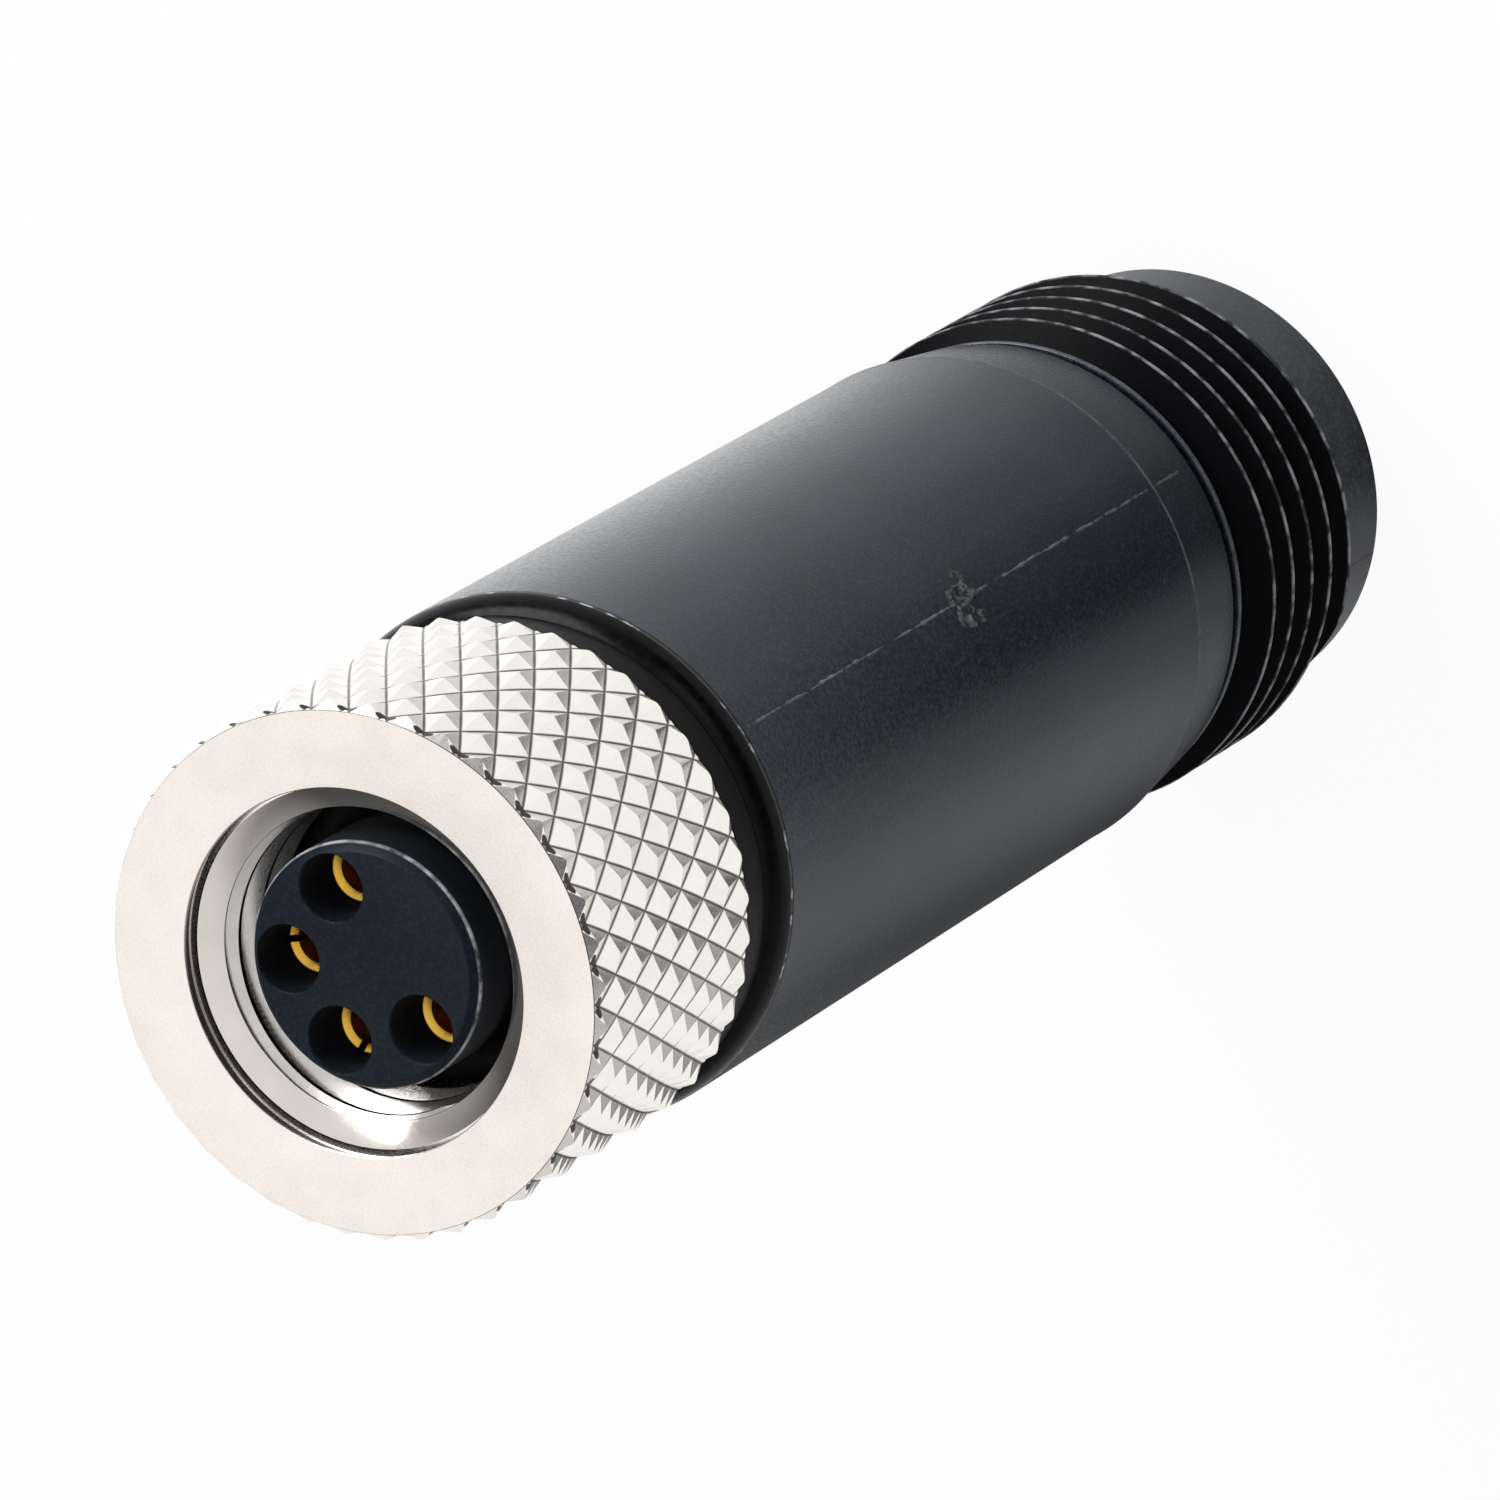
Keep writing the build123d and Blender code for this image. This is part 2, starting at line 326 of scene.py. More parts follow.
class NodeWriter:
    """Adds nodes to one tree."""

    def __init__(self, tree: NodeTree) -> None:
        """Starts with an empty tree."""
        self.tree = tree
        tree.nodes.clear()

    def feed(self, socket: Socket, value: Any) -> None:
        """Sets an input.

        Args:
            socket: The input.
            value: What it holds, or the socket that it is linked to.
        """
        if isinstance(value, Socket):
            self.tree.links.new(value, socket)
        else:
            socket.default_value = value

    def node(self, kind: str, inputs: Optional[dict[Any, Any]] = None, **settings: Any) -> Node:
        """Adds a node.

        Args:
            kind: Blender's name of the node type.
            inputs: Value or socket for each input that is set, by name or number.
            settings: Properties of the node.

        Returns:
            The new node.
        """
        made = self.tree.nodes.new(kind)
        for key, value in settings.items():
            setattr(made, key, value)
        for key, value in (inputs or {}).items():
            self.feed(made.inputs[key], value)
        return made

    def result(self, kind: str, inputs: Optional[dict[Any, Any]] = None, **settings: Any) -> Socket:
        """Adds a node and gives its first output."""
        return self.node(kind, inputs, **settings).outputs[0]

    def math(self, operation: str, first: Any, second: Any = 0.0) -> Socket:
        """Adds one step of arithmetic on numbers or sockets."""
        return self.result("ShaderNodeMath", {0: first, 1: second}, operation=operation)

    def product(self, first: Any, second: Any) -> Socket:
        """Multiplies two numbers or sockets."""
        return self.math("MULTIPLY", first, second)

    def length(self, first: Socket, second: Socket) -> Socket:
        """Distance that two distances at right angles give."""
        squared = self.math("ADD", self.product(first, first), self.product(second, second))
        return self.math("SQRT", squared)

    def spread(self, value: Socket, source: Point2, target: Point2) -> Socket:
        """Maps one range of numbers onto another and holds the result within it."""
        limits = zip(("From Min", "From Max", "To Min", "To Max"), (*source, *target))
        return self.result("ShaderNodeMapRange", {"Value": value, **dict(limits)})

    def ramp(self, value: Socket, levels: Sequence[Point2], easing: str = "LINEAR") -> Socket:
        """Maps a number from 0 to 1 onto grey levels.

        Args:
            value: The number.
            levels: Place and level of each stop, the first of them at 0.
            easing: Blender's name of the way from stop to stop.

        Returns:
            The level.
        """
        made = self.node("ShaderNodeValToRGB", {0: value})
        made.color_ramp.interpolation = easing
        stops = made.color_ramp.elements
        stops.remove(stops[0])
        stops[0].position = 0.0
        for number, (place, level) in enumerate(levels):
            stop = stops[0] if number == 0 else stops.new(place)
            stop.color = (level, level, level, 1.0)
        return made.outputs[0]


class TreeWriter(NodeWriter):
    """Writes one Geometry Nodes tree with named inputs."""

    def __init__(self, name: str) -> None:
        """Starts an empty tree with one geometry output."""
        super().__init__(bpy.data.node_groups.new(name, "GeometryNodeTree"))
        self.tree.interface.new_socket("Geometry", in_out="OUTPUT", socket_type="NodeSocketGeometry")
        self.inlet = self.node("NodeGroupInput")
        self.identifiers: dict[str, str] = {}

    def inputs(self, kind: InputKind, *names: str) -> list[Socket]:
        """Adds named inputs.

        Args:
            kind: What they hold.
            names: Their names.

        Returns:
            The sockets that give their values inside the tree.
        """
        for name in names:
            item = self.tree.interface.new_socket(name, in_out="INPUT", socket_type=kind.value)
            self.identifiers[name] = item.identifier
        return [self.inlet.outputs[name] for name in names]

    def vector(self, **parts: Any) -> Socket:
        """Joins the numbers X, Y and Z into a vector."""
        return self.result("ShaderNodeCombineXYZ", parts)

    def turn(self, angle: Socket) -> Socket:
        """Turns an angle into a rotation about the axis."""
        return self.result("FunctionNodeEulerToRotation", {"Euler": self.vector(Z=angle)})

    def copies(self, part: Socket, count: Socket, place: Socket, angle: Socket) -> Socket:
        """Sets turned copies of a part.

        Args:
            part: Object that is copied.
            count: Number of copies.
            place: Place of each.
            angle: Turn of each about the axis.

        Returns:
            The instances.
        """
        points = self.result("GeometryNodePoints", {"Count": count, "Position": place})
        shape = self.node("GeometryNodeObjectInfo", {"Object": part}).outputs["Geometry"]
        values = {"Points": points, "Instance": shape, "Rotation": self.turn(angle)}
        return self.result("GeometryNodeInstanceOnPoints", values)

    def end(self, geometry: Socket) -> TreeWriter:
        """Ends the tree by realizing its instances and giving them the material of the input Finish.

        Args:
            geometry: What the tree has made.

        Returns:
            The writer itself.
        """
        (finish,) = self.inputs(InputKind.MATERIAL, "Finish")
        real = self.result("GeometryNodeRealizeInstances", {"Geometry": geometry})
        dressed = self.result("GeometryNodeSetMaterial", {"Geometry": real, "Material": finish})
        self.node("NodeGroupOutput", {0: dressed})
        return self

    def apply(self, name: str, finish: Finish, values: dict[str, Any]) -> Piece:
        """Makes a piece from the tree.

        Args:
            name: Name of the piece.
            finish: Its finish.
            values: Value of each other input.

        Returns:
            The piece as a plain mesh.
        """
        piece = add_piece(name, bmesh.new())
        modifier = piece.modifiers.new(name, "NODES")
        modifier.node_group = self.tree
        for key, value in {**values, "Finish": finish.material()}.items():
            modifier[self.identifiers[key]] = value
        settle(piece)
        return piece


def circle_tree() -> TreeWriter:
    """Tree that sets copies of one part round the axis.

    Returns:
        The tree, with inputs Part, Count, Radius, First Angle, Step Angle and Finish.
    """
    tree = TreeWriter("parts_on_a_circle")
    (part,) = tree.inputs(InputKind.OBJECT, "Part")
    (count,) = tree.inputs(InputKind.COUNT, "Count")
    radius, first, step = tree.inputs(InputKind.NUMBER, "Radius", "First Angle", "Step Angle")
    angle = tree.math("ADD", first, tree.product(tree.result("GeometryNodeInputIndex"), step))
    across, along = (tree.product(radius, tree.math(way, angle)) for way in ("COSINE", "SINE"))
    return tree.end(tree.copies(part, count, tree.vector(X=across, Y=along), angle))


def knurl_tree() -> TreeWriter:
    """Tree that lays a diamond knurl out of one tooth and two end teeth.

    Returns:
        The tree, with inputs Tooth, Lower End, Upper End, Teeth, Rows, Row Height, First Height and Finish.
    """
    tree = TreeWriter("diamond_knurl")
    tooth, lower, upper = tree.inputs(InputKind.OBJECT, "Tooth", "Lower End", "Upper End")
    teeth, rows = tree.inputs(InputKind.COUNT, "Teeth", "Rows")
    row_height, first_height = tree.inputs(InputKind.NUMBER, "Row Height", "First Height")
    index = tree.result("GeometryNodeInputIndex")
    column = tree.math("MODULO", index, teeth)
    band = tree.math("FLOOR", tree.math("DIVIDE", index, teeth))

    def rings(part: Socket, first_row: Any, count: Any) -> Socket:
        """Sets whole rings of one tooth.

        Args:
            part: Object socket of the tooth.
            first_row: Row of the first ring.
            count: Number of rings.

        Returns:
            The instances.
        """
        row = tree.math("ADD", band, first_row)
        offset = tree.product(tree.math("MODULO", tree.math("ADD", row, 1.0), 2.0), 0.5)
        share = tree.math("DIVIDE", tree.math("ADD", column, offset), teeth)
        height = tree.math("ADD", first_height, tree.product(row, row_height))
        angle = tree.product(share, 2 * math.pi)
        return tree.copies(part, tree.product(count, teeth), tree.vector(Z=height), angle)

    joined = tree.node("GeometryNodeJoinGeometry")
    middle = rings(tooth, 1.0, tree.math("SUBTRACT", rows, 1.0))
    for part in (middle, rings(lower, 0.0, 1.0), rings(upper, rows, 1.0)):
        tree.feed(joined.inputs[0], part)
    real = tree.result("GeometryNodeRealizeInstances", {"Geometry": joined.outputs[0]})
    return tree.end(tree.result("GeometryNodeMergeByDistance", {"Geometry": real, "Distance": 0.004 * MM}))


def thread_tree() -> TreeWriter:
    """Tree that winds the ridge of a screw thread up the axis.

    Returns:
        The tree, with inputs Radius, Pitch, Turns, Depth, Foot, Crest, Side, Run In, Run Out, Start Angle,
        Base Height and Finish.
    """
    tree = TreeWriter("screw_thread")
    radius, pitch, turns, depth = tree.inputs(InputKind.NUMBER, "Radius", "Pitch", "Turns", "Depth")
    foot, crest, side = tree.inputs(InputKind.NUMBER, "Foot", "Crest", "Side")
    run_in, run_out = tree.inputs(InputKind.NUMBER, "Run In", "Run Out")
    first_angle, base = tree.inputs(InputKind.NUMBER, "Start Angle", "Base Height")
    course = {
        "Resolution": 144,
        "Rotations": turns,
        "Start Radius": radius,
        "End Radius": radius,
        "Height": tree.product(pitch, turns),
        "Reverse": True,
    }
    spiral = tree.result("GeometryNodeCurveSpiral", course)
    upright = tree.result("GeometryNodeSetCurveNormal", {"Curve": spiral}, mode="Z_UP")
    turned = tree.product(side, 0.5)  # keeps the faces outward on either side
    half, tip, reach = tree.product(foot, turned), tree.product(crest, turned), tree.product(depth, side)
    corners = {
        "Point 1": tree.vector(Y=tree.product(half, -1.0)),
        "Point 2": tree.vector(X=reach, Y=tree.product(tip, -1.0)),
        "Point 3": tree.vector(X=reach, Y=tip),
        "Point 4": tree.vector(Y=half),
    }
    section = tree.result("GeometryNodeCurvePrimitiveQuadrilateral", corners, mode="POINTS")
    along = tree.product(tree.node("GeometryNodeSplineParameter").outputs["Factor"], turns)
    ahead = tree.math("SUBTRACT", turns, along)
    nearest = tree.math("MINIMUM", tree.math("DIVIDE", along, run_in), tree.math("DIVIDE", ahead, run_out))
    taper = tree.math("MAXIMUM", tree.math("MINIMUM", nearest, 1.0), 0.02)
    sweep = {"Curve": upright, "Profile Curve": section, "Scale": taper, "Fill Caps": True}
    ridge = tree.result("GeometryNodeCurveToMesh", sweep)
    placing = {"Geometry": ridge, "Translation": tree.vector(Z=base), "Rotation": tree.turn(first_angle)}
    return tree.end(tree.result("GeometryNodeTransform", placing))


@dataclass(frozen=True)
class ContactCircle:
    """Circle on which the contacts of one end stand."""

    radius: float
    first_angle: float
    step_angle: float

    def copies(self, part: Piece, name: str, finish: Finish) -> Piece:
        """Sets copies of a part on the circle.

        Args:
            part: Helper object on the axis, which is removed.
            name: Name of the new piece.
            finish: Its finish.

        Returns:
            The copies as one mesh, shaded smooth.
        """
        values = {
            "Part": part,
            "Count": CONTACTS,
            "Radius": self.radius * MM,
            "First Angle": math.radians(self.first_angle),
            "Step Angle": math.radians(self.step_angle),
        }
        piece = circle_tree().apply(name, finish, values)
        discard(part)
        soften(piece)
        return piece


@dataclass(frozen=True)
class ScrewThread:
    """Ridge of a screw thread, sunk a little into the wall that carries it."""

    side: ThreadSide
    root_radius: float
    crest_radius: float
    base: float
    turns: float
    crest: float
    sink: float
    run_in: float = 0.12
    run_out: float = 0.12
    start_angle: float = 0.0
    pitch: float = 1.0
    flank_angle: float = 30.0

    def piece(self, name: str, finish: Finish) -> Piece:
        """Winds the ridge.

        Args:
            name: Name of the piece.
            finish: Its finish.

        Returns:
            The ridge as one mesh, shaded smooth.
        """
        depth = abs(self.crest_radius - self.root_radius)
        values = {
            "Radius": (self.root_radius - self.side.value * self.sink) * MM,
            "Pitch": self.pitch * MM,
            "Turns": self.turns,
            "Depth": (depth + self.sink) * MM,
            "Foot": (self.crest + 2 * depth * math.tan(math.radians(self.flank_angle))) * MM,
            "Crest": self.crest * MM,
            "Side": self.side.value,
            "Run In": self.run_in,
            "Run Out": self.run_out,
            "Start Angle": math.radians(self.start_angle),
            "Base Height": self.base * MM,
        }
        piece = thread_tree().apply(name, finish, values)
        soften(piece, 25.0)
        return piece


def new_material(name: str) -> Material:
    """Starts a material with nodes."""
    material = bpy.data.materials.new(name)
    material.use_nodes = True
    return material


class ShaderWriter(NodeWriter):
    """Writes the node tree of one material."""

    def __init__(self, name: str) -> None:
        """Starts a material with one Principled shader."""
        self.material = new_material(name)
        super().__init__(self.material.node_tree)
        self.shader = self.node("ShaderNodeBsdfPrincipled")
        self.node("ShaderNodeOutputMaterial", {0: self.shader.outputs[0]})
        self.place = self.node("ShaderNodeTexCoord").outputs["Object"]

    def noise(self, grain_mm: float, detail: float = 2.0) -> Socket:
        """Noise from 0 to 1 in the part's own space, with grains of a size in millimetres."""
        values = {"Vector": self.place, "Scale": 1.0 / (grain_mm * MM), "Detail": detail}
        return self.result("ShaderNodeTexNoise", values)

    def blend(self, share: Socket, first: Any, second: Colour) -> Socket:
        """Mixes two colours.

        Args:
            share: How much of the second shows.
            first: First colour or socket.
            second: Second colour.

        Returns:
            The mixed colour.
        """
        made = self.node("ShaderNodeMix", {"Factor": share}, data_type="RGBA")
        sockets = [socket for socket in made.inputs if socket.type == "RGBA"]
        self.feed(sockets[0], first if isinstance(first, Socket) else (*first, 1.0))
        self.feed(sockets[1], (*second, 1.0))
        return next(socket for socket in made.outputs if socket.type == "RGBA")

    def axis(self, name: str) -> Socket:
        """One coordinate of the part's own space, in millimetres."""
        parts = self.node("ShaderNodeSeparateXYZ", {0: self.place})
        return self.product(parts.outputs[name], 1.0 / MM)

    def radius(self) -> Socket:
        """Distance from the adapter's axis, in millimetres."""
        return self.length(self.axis("X"), self.axis("Y"))

    def ring(self, ring_mm: Corner, core: float = 0.5) -> Socket:
        """Marks what lies near a ring about the axis.

        Args:
            ring_mm: Radius and height of the ring, and how far its mark reaches, in millimetres.
            core: Share of the reach within which the mark is full.

        Returns:
            1 at the ring and 0 beyond its reach.
        """
        outward = self.math("SUBTRACT", self.radius(), ring_mm[0])
        upward = self.math("SUBTRACT", self.axis("Z"), ring_mm[1])
        return self.spread(self.length(outward, upward), (core * ring_mm[2], ring_mm[2]), (1.0, 0.0))

    def relief(self, height: Socket, depth_mm: float, strength: float) -> Socket:
        """Normal of fine relief, with the depth that a height of 1 stands for."""
        values = {"Strength": strength, "Distance": depth_mm * MM, "Height": height}
        return self.result("ShaderNodeBump", values)

    def end(self, values: dict[str, Any]) -> Material:
        """Sets inputs of the shader.

        Args:
            values: Value or socket of each.

        Returns:
            The finished material.
        """
        for name, value in values.items():
            self.feed(self.shader.inputs[name], value)
        return self.material


@dataclass(frozen=True)
class MouldedPlastic(Finish):
    """Moulded plastic with a fine grain, and painted highlights at its crests and edges."""

    name: str
    base: Colour
    fleck: Colour
    roughness: float
    specular: float = 0.35
    grain_mm: float = 0.11
    grain_depth_mm: float = 0.012
    grain_strength: float = 0.35
    # radius of a painted highlight along a thread's crest, then the rings, colour and dash breaks of
    # painted highlight lines
    crest_highlight_radius_mm: Optional[float] = None
    highlight_rings_mm: tuple[Corner, ...] = ()
    painted_highlight: Colour = (0.3, 0.31, 0.33)
    highlight_dash_limits: Point2 = (0.4, 0.62)
    gloss_tint: Colour = (1.0, 1.0, 1.0)
    roughness_spread: float = 0.07

    def build(self) -> Material:
        """Builds the material."""
        writer = ShaderWriter(self.name)
        grain = writer.noise(self.grain_mm, 3.0)
        fine = writer.spread(grain, (0.42, 0.72), (0.0, 0.75))
        cloudy = writer.spread(writer.noise(2.6, 1.0), (0.4, 0.7), (0.0, 0.25))
        colour = writer.blend(writer.math("ADD", fine, cloudy), self.base, self.fleck)
        # breaks the painted highlights into dashes
        broken = writer.spread(writer.noise(0.4), self.highlight_dash_limits, (0.12, 1.0))
        marks = []
        # painted highlight along the crest of a thread
        if self.crest_highlight_radius_mm is not None:
            span = (self.crest_highlight_radius_mm - 0.04, self.crest_highlight_radius_mm - 0.01)
            marks.append(writer.spread(writer.radius(), span, (0.0, 1.0)))
        # painted highlight lines round the axis, broken into dashes
        for near in marks + [writer.ring(ring) for ring in self.highlight_rings_mm]:
            colour = writer.blend(writer.product(near, broken), colour, self.painted_highlight)
        low, high = self.roughness - self.roughness_spread, self.roughness + self.roughness_spread
        values = {
            "Base Color": colour,
            "Roughness": writer.spread(grain, (0.3, 0.7), (low, high)),
            "Specular IOR Level": self.specular,
            "Specular Tint": (*self.gloss_tint, 1.0),
            "Normal": writer.relief(grain, self.grain_depth_mm, self.grain_strength),
        }
        return writer.end(values)


@dataclass(frozen=True)
class PlatedMetal(Finish):
    """Plated turned metal with fine turning marks, painted shade near the roots of grooves and a ring of
    painted shade in a recess.
    """

    name: str
    base: Colour
    shade: Colour
    roughness: float
    roughness_spread: float = 0.05
    marks_mm: float = 0.09
    marks_depth_mm: float = 0.002
    marks_strength: float = 0.15
    # painted shade near the roots of grooves: root radius, how far above it the shade reaches, and its
    # colour
    groove_shade_radius_mm: Optional[float] = None
    groove_shade_rise_mm: float = 0.02
    groove: Colour = (0.13, 0.12, 0.11)
    smooth_within_mm: Optional[float] = None
    # a ring of painted shade that darkens a recess, and its colour
    painted_shade_ring_mm: Optional[Corner] = None
    painted_shade: Colour = (0.035, 0.032, 0.03)

    def build(self) -> Material:
        """Builds the material."""
        writer = ShaderWriter(self.name)
        cloud, pits, radius = writer.noise(0.9, 3.0), writer.noise(0.06), writer.radius()
        colour = writer.blend(writer.spread(cloud, (0.35, 0.7), (0.0, 1.0)), self.base, self.shade)
        # painted shade near the roots of grooves
        if self.groove_shade_radius_mm is not None:
            span = (self.groove_shade_radius_mm + 0.005, self.groove_shade_radius_mm + self.groove_shade_rise_mm)
            colour = writer.blend(writer.spread(radius, span, (1.0, 0.0)), colour, self.groove)
        # painted shade in a ring round a recess
        if self.painted_shade_ring_mm is not None:
            colour = writer.blend(writer.ring(self.painted_shade_ring_mm, 0.9), colour, self.painted_shade)
        low, high = self.roughness - self.roughness_spread, self.roughness + self.roughness_spread
        rough = writer.spread(pits, (0.3, 0.7), (low, high))
        rings = writer.math("SINE", writer.product(radius, 2 * math.pi / self.marks_mm))
        turned = writer.spread(rings, (-1.0, 1.0), (0.0, 0.4))
        height = writer.math("ADD", turned, writer.product(pits, 0.6))
        if self.smooth_within_mm is not None:
            span = (self.smooth_within_mm - 0.03, self.smooth_within_mm + 0.03)
            height = writer.product(height, writer.spread(radius, span, (0.0, 1.0)))
            rough = writer.product(rough, writer.spread(radius, span, (0.5, 1.0)))
        normal = writer.relief(height, self.marks_depth_mm, self.marks_strength)
        return writer.end({"Metallic": 1.0, "Base Color": colour, "Roughness": rough, "Normal": normal})


@dataclass(frozen=True)
class SoftRubber(Finish):
    """Matt seal rubber with a dusty bloom."""

    name: str
    base: Colour
    bloom: Colour
    roughness: float = 0.72
    roughness_spread: float = 0.1

    def build(self) -> Material:
        """Builds the material."""
        writer = ShaderWriter(self.name)
        dust = writer.noise(0.4, 4.0)
        low, high = self.roughness - self.roughness_spread, self.roughness + self.roughness_spread
        bloomed = writer.spread(dust, (0.45, 0.75), (0.0, 0.8))
        values = {
            "Base Color": writer.blend(bloomed, self.base, self.bloom),
            "Roughness": writer.spread(dust, (0.3, 0.7), (low, high)),
            "Normal": writer.relief(writer.noise(0.05), 0.006, 0.4),
        }
        return writer.end(values)


@dataclass(frozen=True)
class PaleFloor(Finish):
    """Floor that is white to the camera, with soft painted shade, painted light and a painted contact
    shadow round the adapter in reflections only.
    """

    name: str = "pale_floor"
    grey: float = 0.82
    glow_share: float = 0.94
    # reach of the painted shade, and of the painted contact shadow near the adapter's foot, in metres
    shade_reach: Point2 = (0.025, 0.032)
    foot_reach: Point2 = (0.0066, 0.0076)
    contact_reach: Point2 = (0.0095, 0.013)
    contact_shade: float = 0.52
    # painted shade and painted light in reflections, by direction round the adapter in degrees; levels
    # above 1 are brighter than white
    levels: tuple[Point2, ...] = (
        (-180.0, 0.75), (-150.0, 0.07), (-125.0, 0.085), (-72.0, 0.58), (-45.0, 0.36), (-24.0, 0.025),
        (-6.0, 0.09), (27.0, 0.42), (62.0, 0.72), (92.0, 1.04), (115.0, 1.35), (155.0, 1.38), (180.0, 0.75),
    )

    def build(self) -> Material:
        """Builds the material."""
        material = new_material(self.name)
        tree = NodeWriter(material.node_tree)
        place = tree.node("ShaderNodeTexCoord").outputs["Object"]
        parts = tree.node("ShaderNodeSeparateXYZ", {0: place}).outputs
        across, along = parts["X"], parts["Y"]
        distance = tree.length(across, along)
        turn = tree.math("ADD", tree.math("DIVIDE", tree.math("ARCTAN2", along, across), 2 * math.pi), 0.5)
        # painted shade and painted light by direction round the adapter
        shade = tree.ramp(turn, [(angle / 360.0 + 0.5, level) for angle, level in self.levels], "EASE")
        shade = tree.math("MAXIMUM", shade, tree.spread(distance, self.shade_reach, (0.0, 1.0)))
        # painted contact shadow near the adapter's foot
        outer = tree.spread(distance, self.contact_reach, (self.contact_shade, 1.0))
        inner = tree.spread(distance, self.foot_reach, (1.0, self.contact_shade))
        shade = tree.product(shade, tree.math("MAXIMUM", outer, inner))
        path = tree.node("ShaderNodeLightPath").outputs
        camera = path["Is Camera Ray"]
        mirrored = tree.math("MAXIMUM", path["Is Glossy Ray"], path["Is Transmission Ray"])
        # the painted shade and light show only to rays that are not camera rays
        reflected_shade = tree.product(shade, tree.math("SUBTRACT", 1.0, camera))
        white = {"Color": (1.0, 1.0, 1.0, 1.0), "Strength": tree.math("MAXIMUM", camera, reflected_shade)}
        glow = tree.result("ShaderNodeEmission", white)
        matt = tree.result("ShaderNodeBsdfDiffuse", {"Color": (self.grey, self.grey, self.grey, 1.0)})
        share = tree.product(tree.math("MAXIMUM", camera, mirrored), self.glow_share)
        mixed = tree.result("ShaderNodeMixShader", {0: share, 1: matt, 2: glow})
        tree.node("ShaderNodeOutputMaterial", {0: mixed})
        return material


# painted shade on the wall of the mouth behind the face
NICKEL = PlatedMetal(
    "satin_nickel", (0.9, 0.84, 0.79), (0.85, 0.79, 0.74), 0.27, smooth_within_mm=4.12,
    painted_shade_ring_mm=(4.15, 39.95, 0.2),
)
# painted shade near the roots of the knurl's grooves and in the notches at its upper end
NICKEL_KNURL = PlatedMetal(
    "knurled_nickel", (0.97, 0.94, 0.9), (0.92, 0.89, 0.85), 0.3, 0.05, 0.05, 0.001, 0.08,
    groove_shade_radius_mm=5.88, painted_shade_ring_mm=(5.87, 40.04, 0.11), painted_shade=(0.065, 0.054, 0.047),
)
NICKEL_THREAD = PlatedMetal(
    "threaded_nickel", (0.8, 0.77, 0.74), (0.7, 0.67, 0.64), 0.2, 0.05, 0.06, 0.001, 0.1
)
GOLD = PlatedMetal("gold_plate", (1.0, 0.62, 0.1), (0.98, 0.5, 0.06), 0.34, 0.05, 0.04, 0.001, 0.1)
# painted highlight lines at the body's rear edge and at the crease where its taper ends
BODY_BLACK = MouldedPlastic(
    "grained_black_body", (0.003, 0.006, 0.012), (0.016, 0.025, 0.04), 0.27, 0.7, 0.1, 0.014, 0.42,
    highlight_rings_mm=((5.62, 8.19, 0.13), (6.0, 11.1, 0.07)), painted_highlight=(0.085, 0.09, 0.1), highlight_dash_limits=(0.2, 0.62),
    gloss_tint=(0.82, 0.9, 1.0),
)
# painted glints in dashes along the front rim's rounded edge
RIM_BLACK = MouldedPlastic(
    "glossy_black_rim", (0.001, 0.0012, 0.0016), (0.003, 0.0034, 0.004), 0.24, 0.12, 0.2, 0.003, 0.1,
    highlight_rings_mm=((6.08, 31.45, 0.05),), painted_highlight=(0.42, 0.43, 0.44), highlight_dash_limits=(0.55, 0.64),
)
GATE_BLACK = MouldedPlastic(
    "torn_gate_black", (0.002, 0.0025, 0.003), (0.18, 0.195, 0.22), 0.32, 0.4, 0.15, 0.02, 0.5
)
SEAM_BLACK = MouldedPlastic("mould_seam_black", (0.02, 0.023, 0.028), (0.18, 0.195, 0.215), 0.34, 0.4)
# painted highlight in dashes along the edge of the carrier's chamfer
CARRIER_BLACK = MouldedPlastic(
    "carrier_black", (0.003, 0.006, 0.011), (0.012, 0.019, 0.03), 0.46, 0.17, 0.09,
    highlight_rings_mm=((2.8, 39.56, 0.07),), painted_highlight=(0.5, 0.51, 0.53), highlight_dash_limits=(0.36, 0.6),
)
# painted highlights along the plug thread's crest and in a ring just below the body's rear edge
THREAD_BLACK = MouldedPlastic(
    "thread_black", (0.001, 0.0012, 0.002), (0.003, 0.0034, 0.005), 0.4, 0.05, 0.08, 0.005, 0.2,
    crest_highlight_radius_mm=5.93, highlight_rings_mm=((5.32, 7.84, 0.06),),
)
COLLAR_BLACK = MouldedPlastic(
    "collar_black", (0.03, 0.035, 0.042), (0.085, 0.092, 0.105), 0.4, 0.57, 0.12, 0.014, 0.45,
    gloss_tint=(0.82, 0.9, 1.0),
)
RING_BLACK = MouldedPlastic(
    "glossy_black_ring", (0.001, 0.001, 0.0012), (0.003, 0.003, 0.0035), 0.3, 0.1, 0.2, 0.003, 0.1
)
SEAL_RUBBER = SoftRubber("seal_rubber", (0.012, 0.012, 0.013), (0.04, 0.04, 0.042))
WIRE_BROWN = MouldedPlastic("brown_insulation", (0.16, 0.07, 0.03), (0.2, 0.09, 0.045), 0.45)
WIRE_WHITE = MouldedPlastic("white_insulation", (0.74, 0.74, 0.71), (0.8, 0.8, 0.78), 0.45)
WIRE_BLUE = MouldedPlastic("blue_insulation", (0.04, 0.1, 0.38), (0.06, 0.14, 0.46), 0.45)
WIRE_BLACK = MouldedPlastic("black_insulation", (0.015, 0.015, 0.016), (0.03, 0.03, 0.032), 0.45)


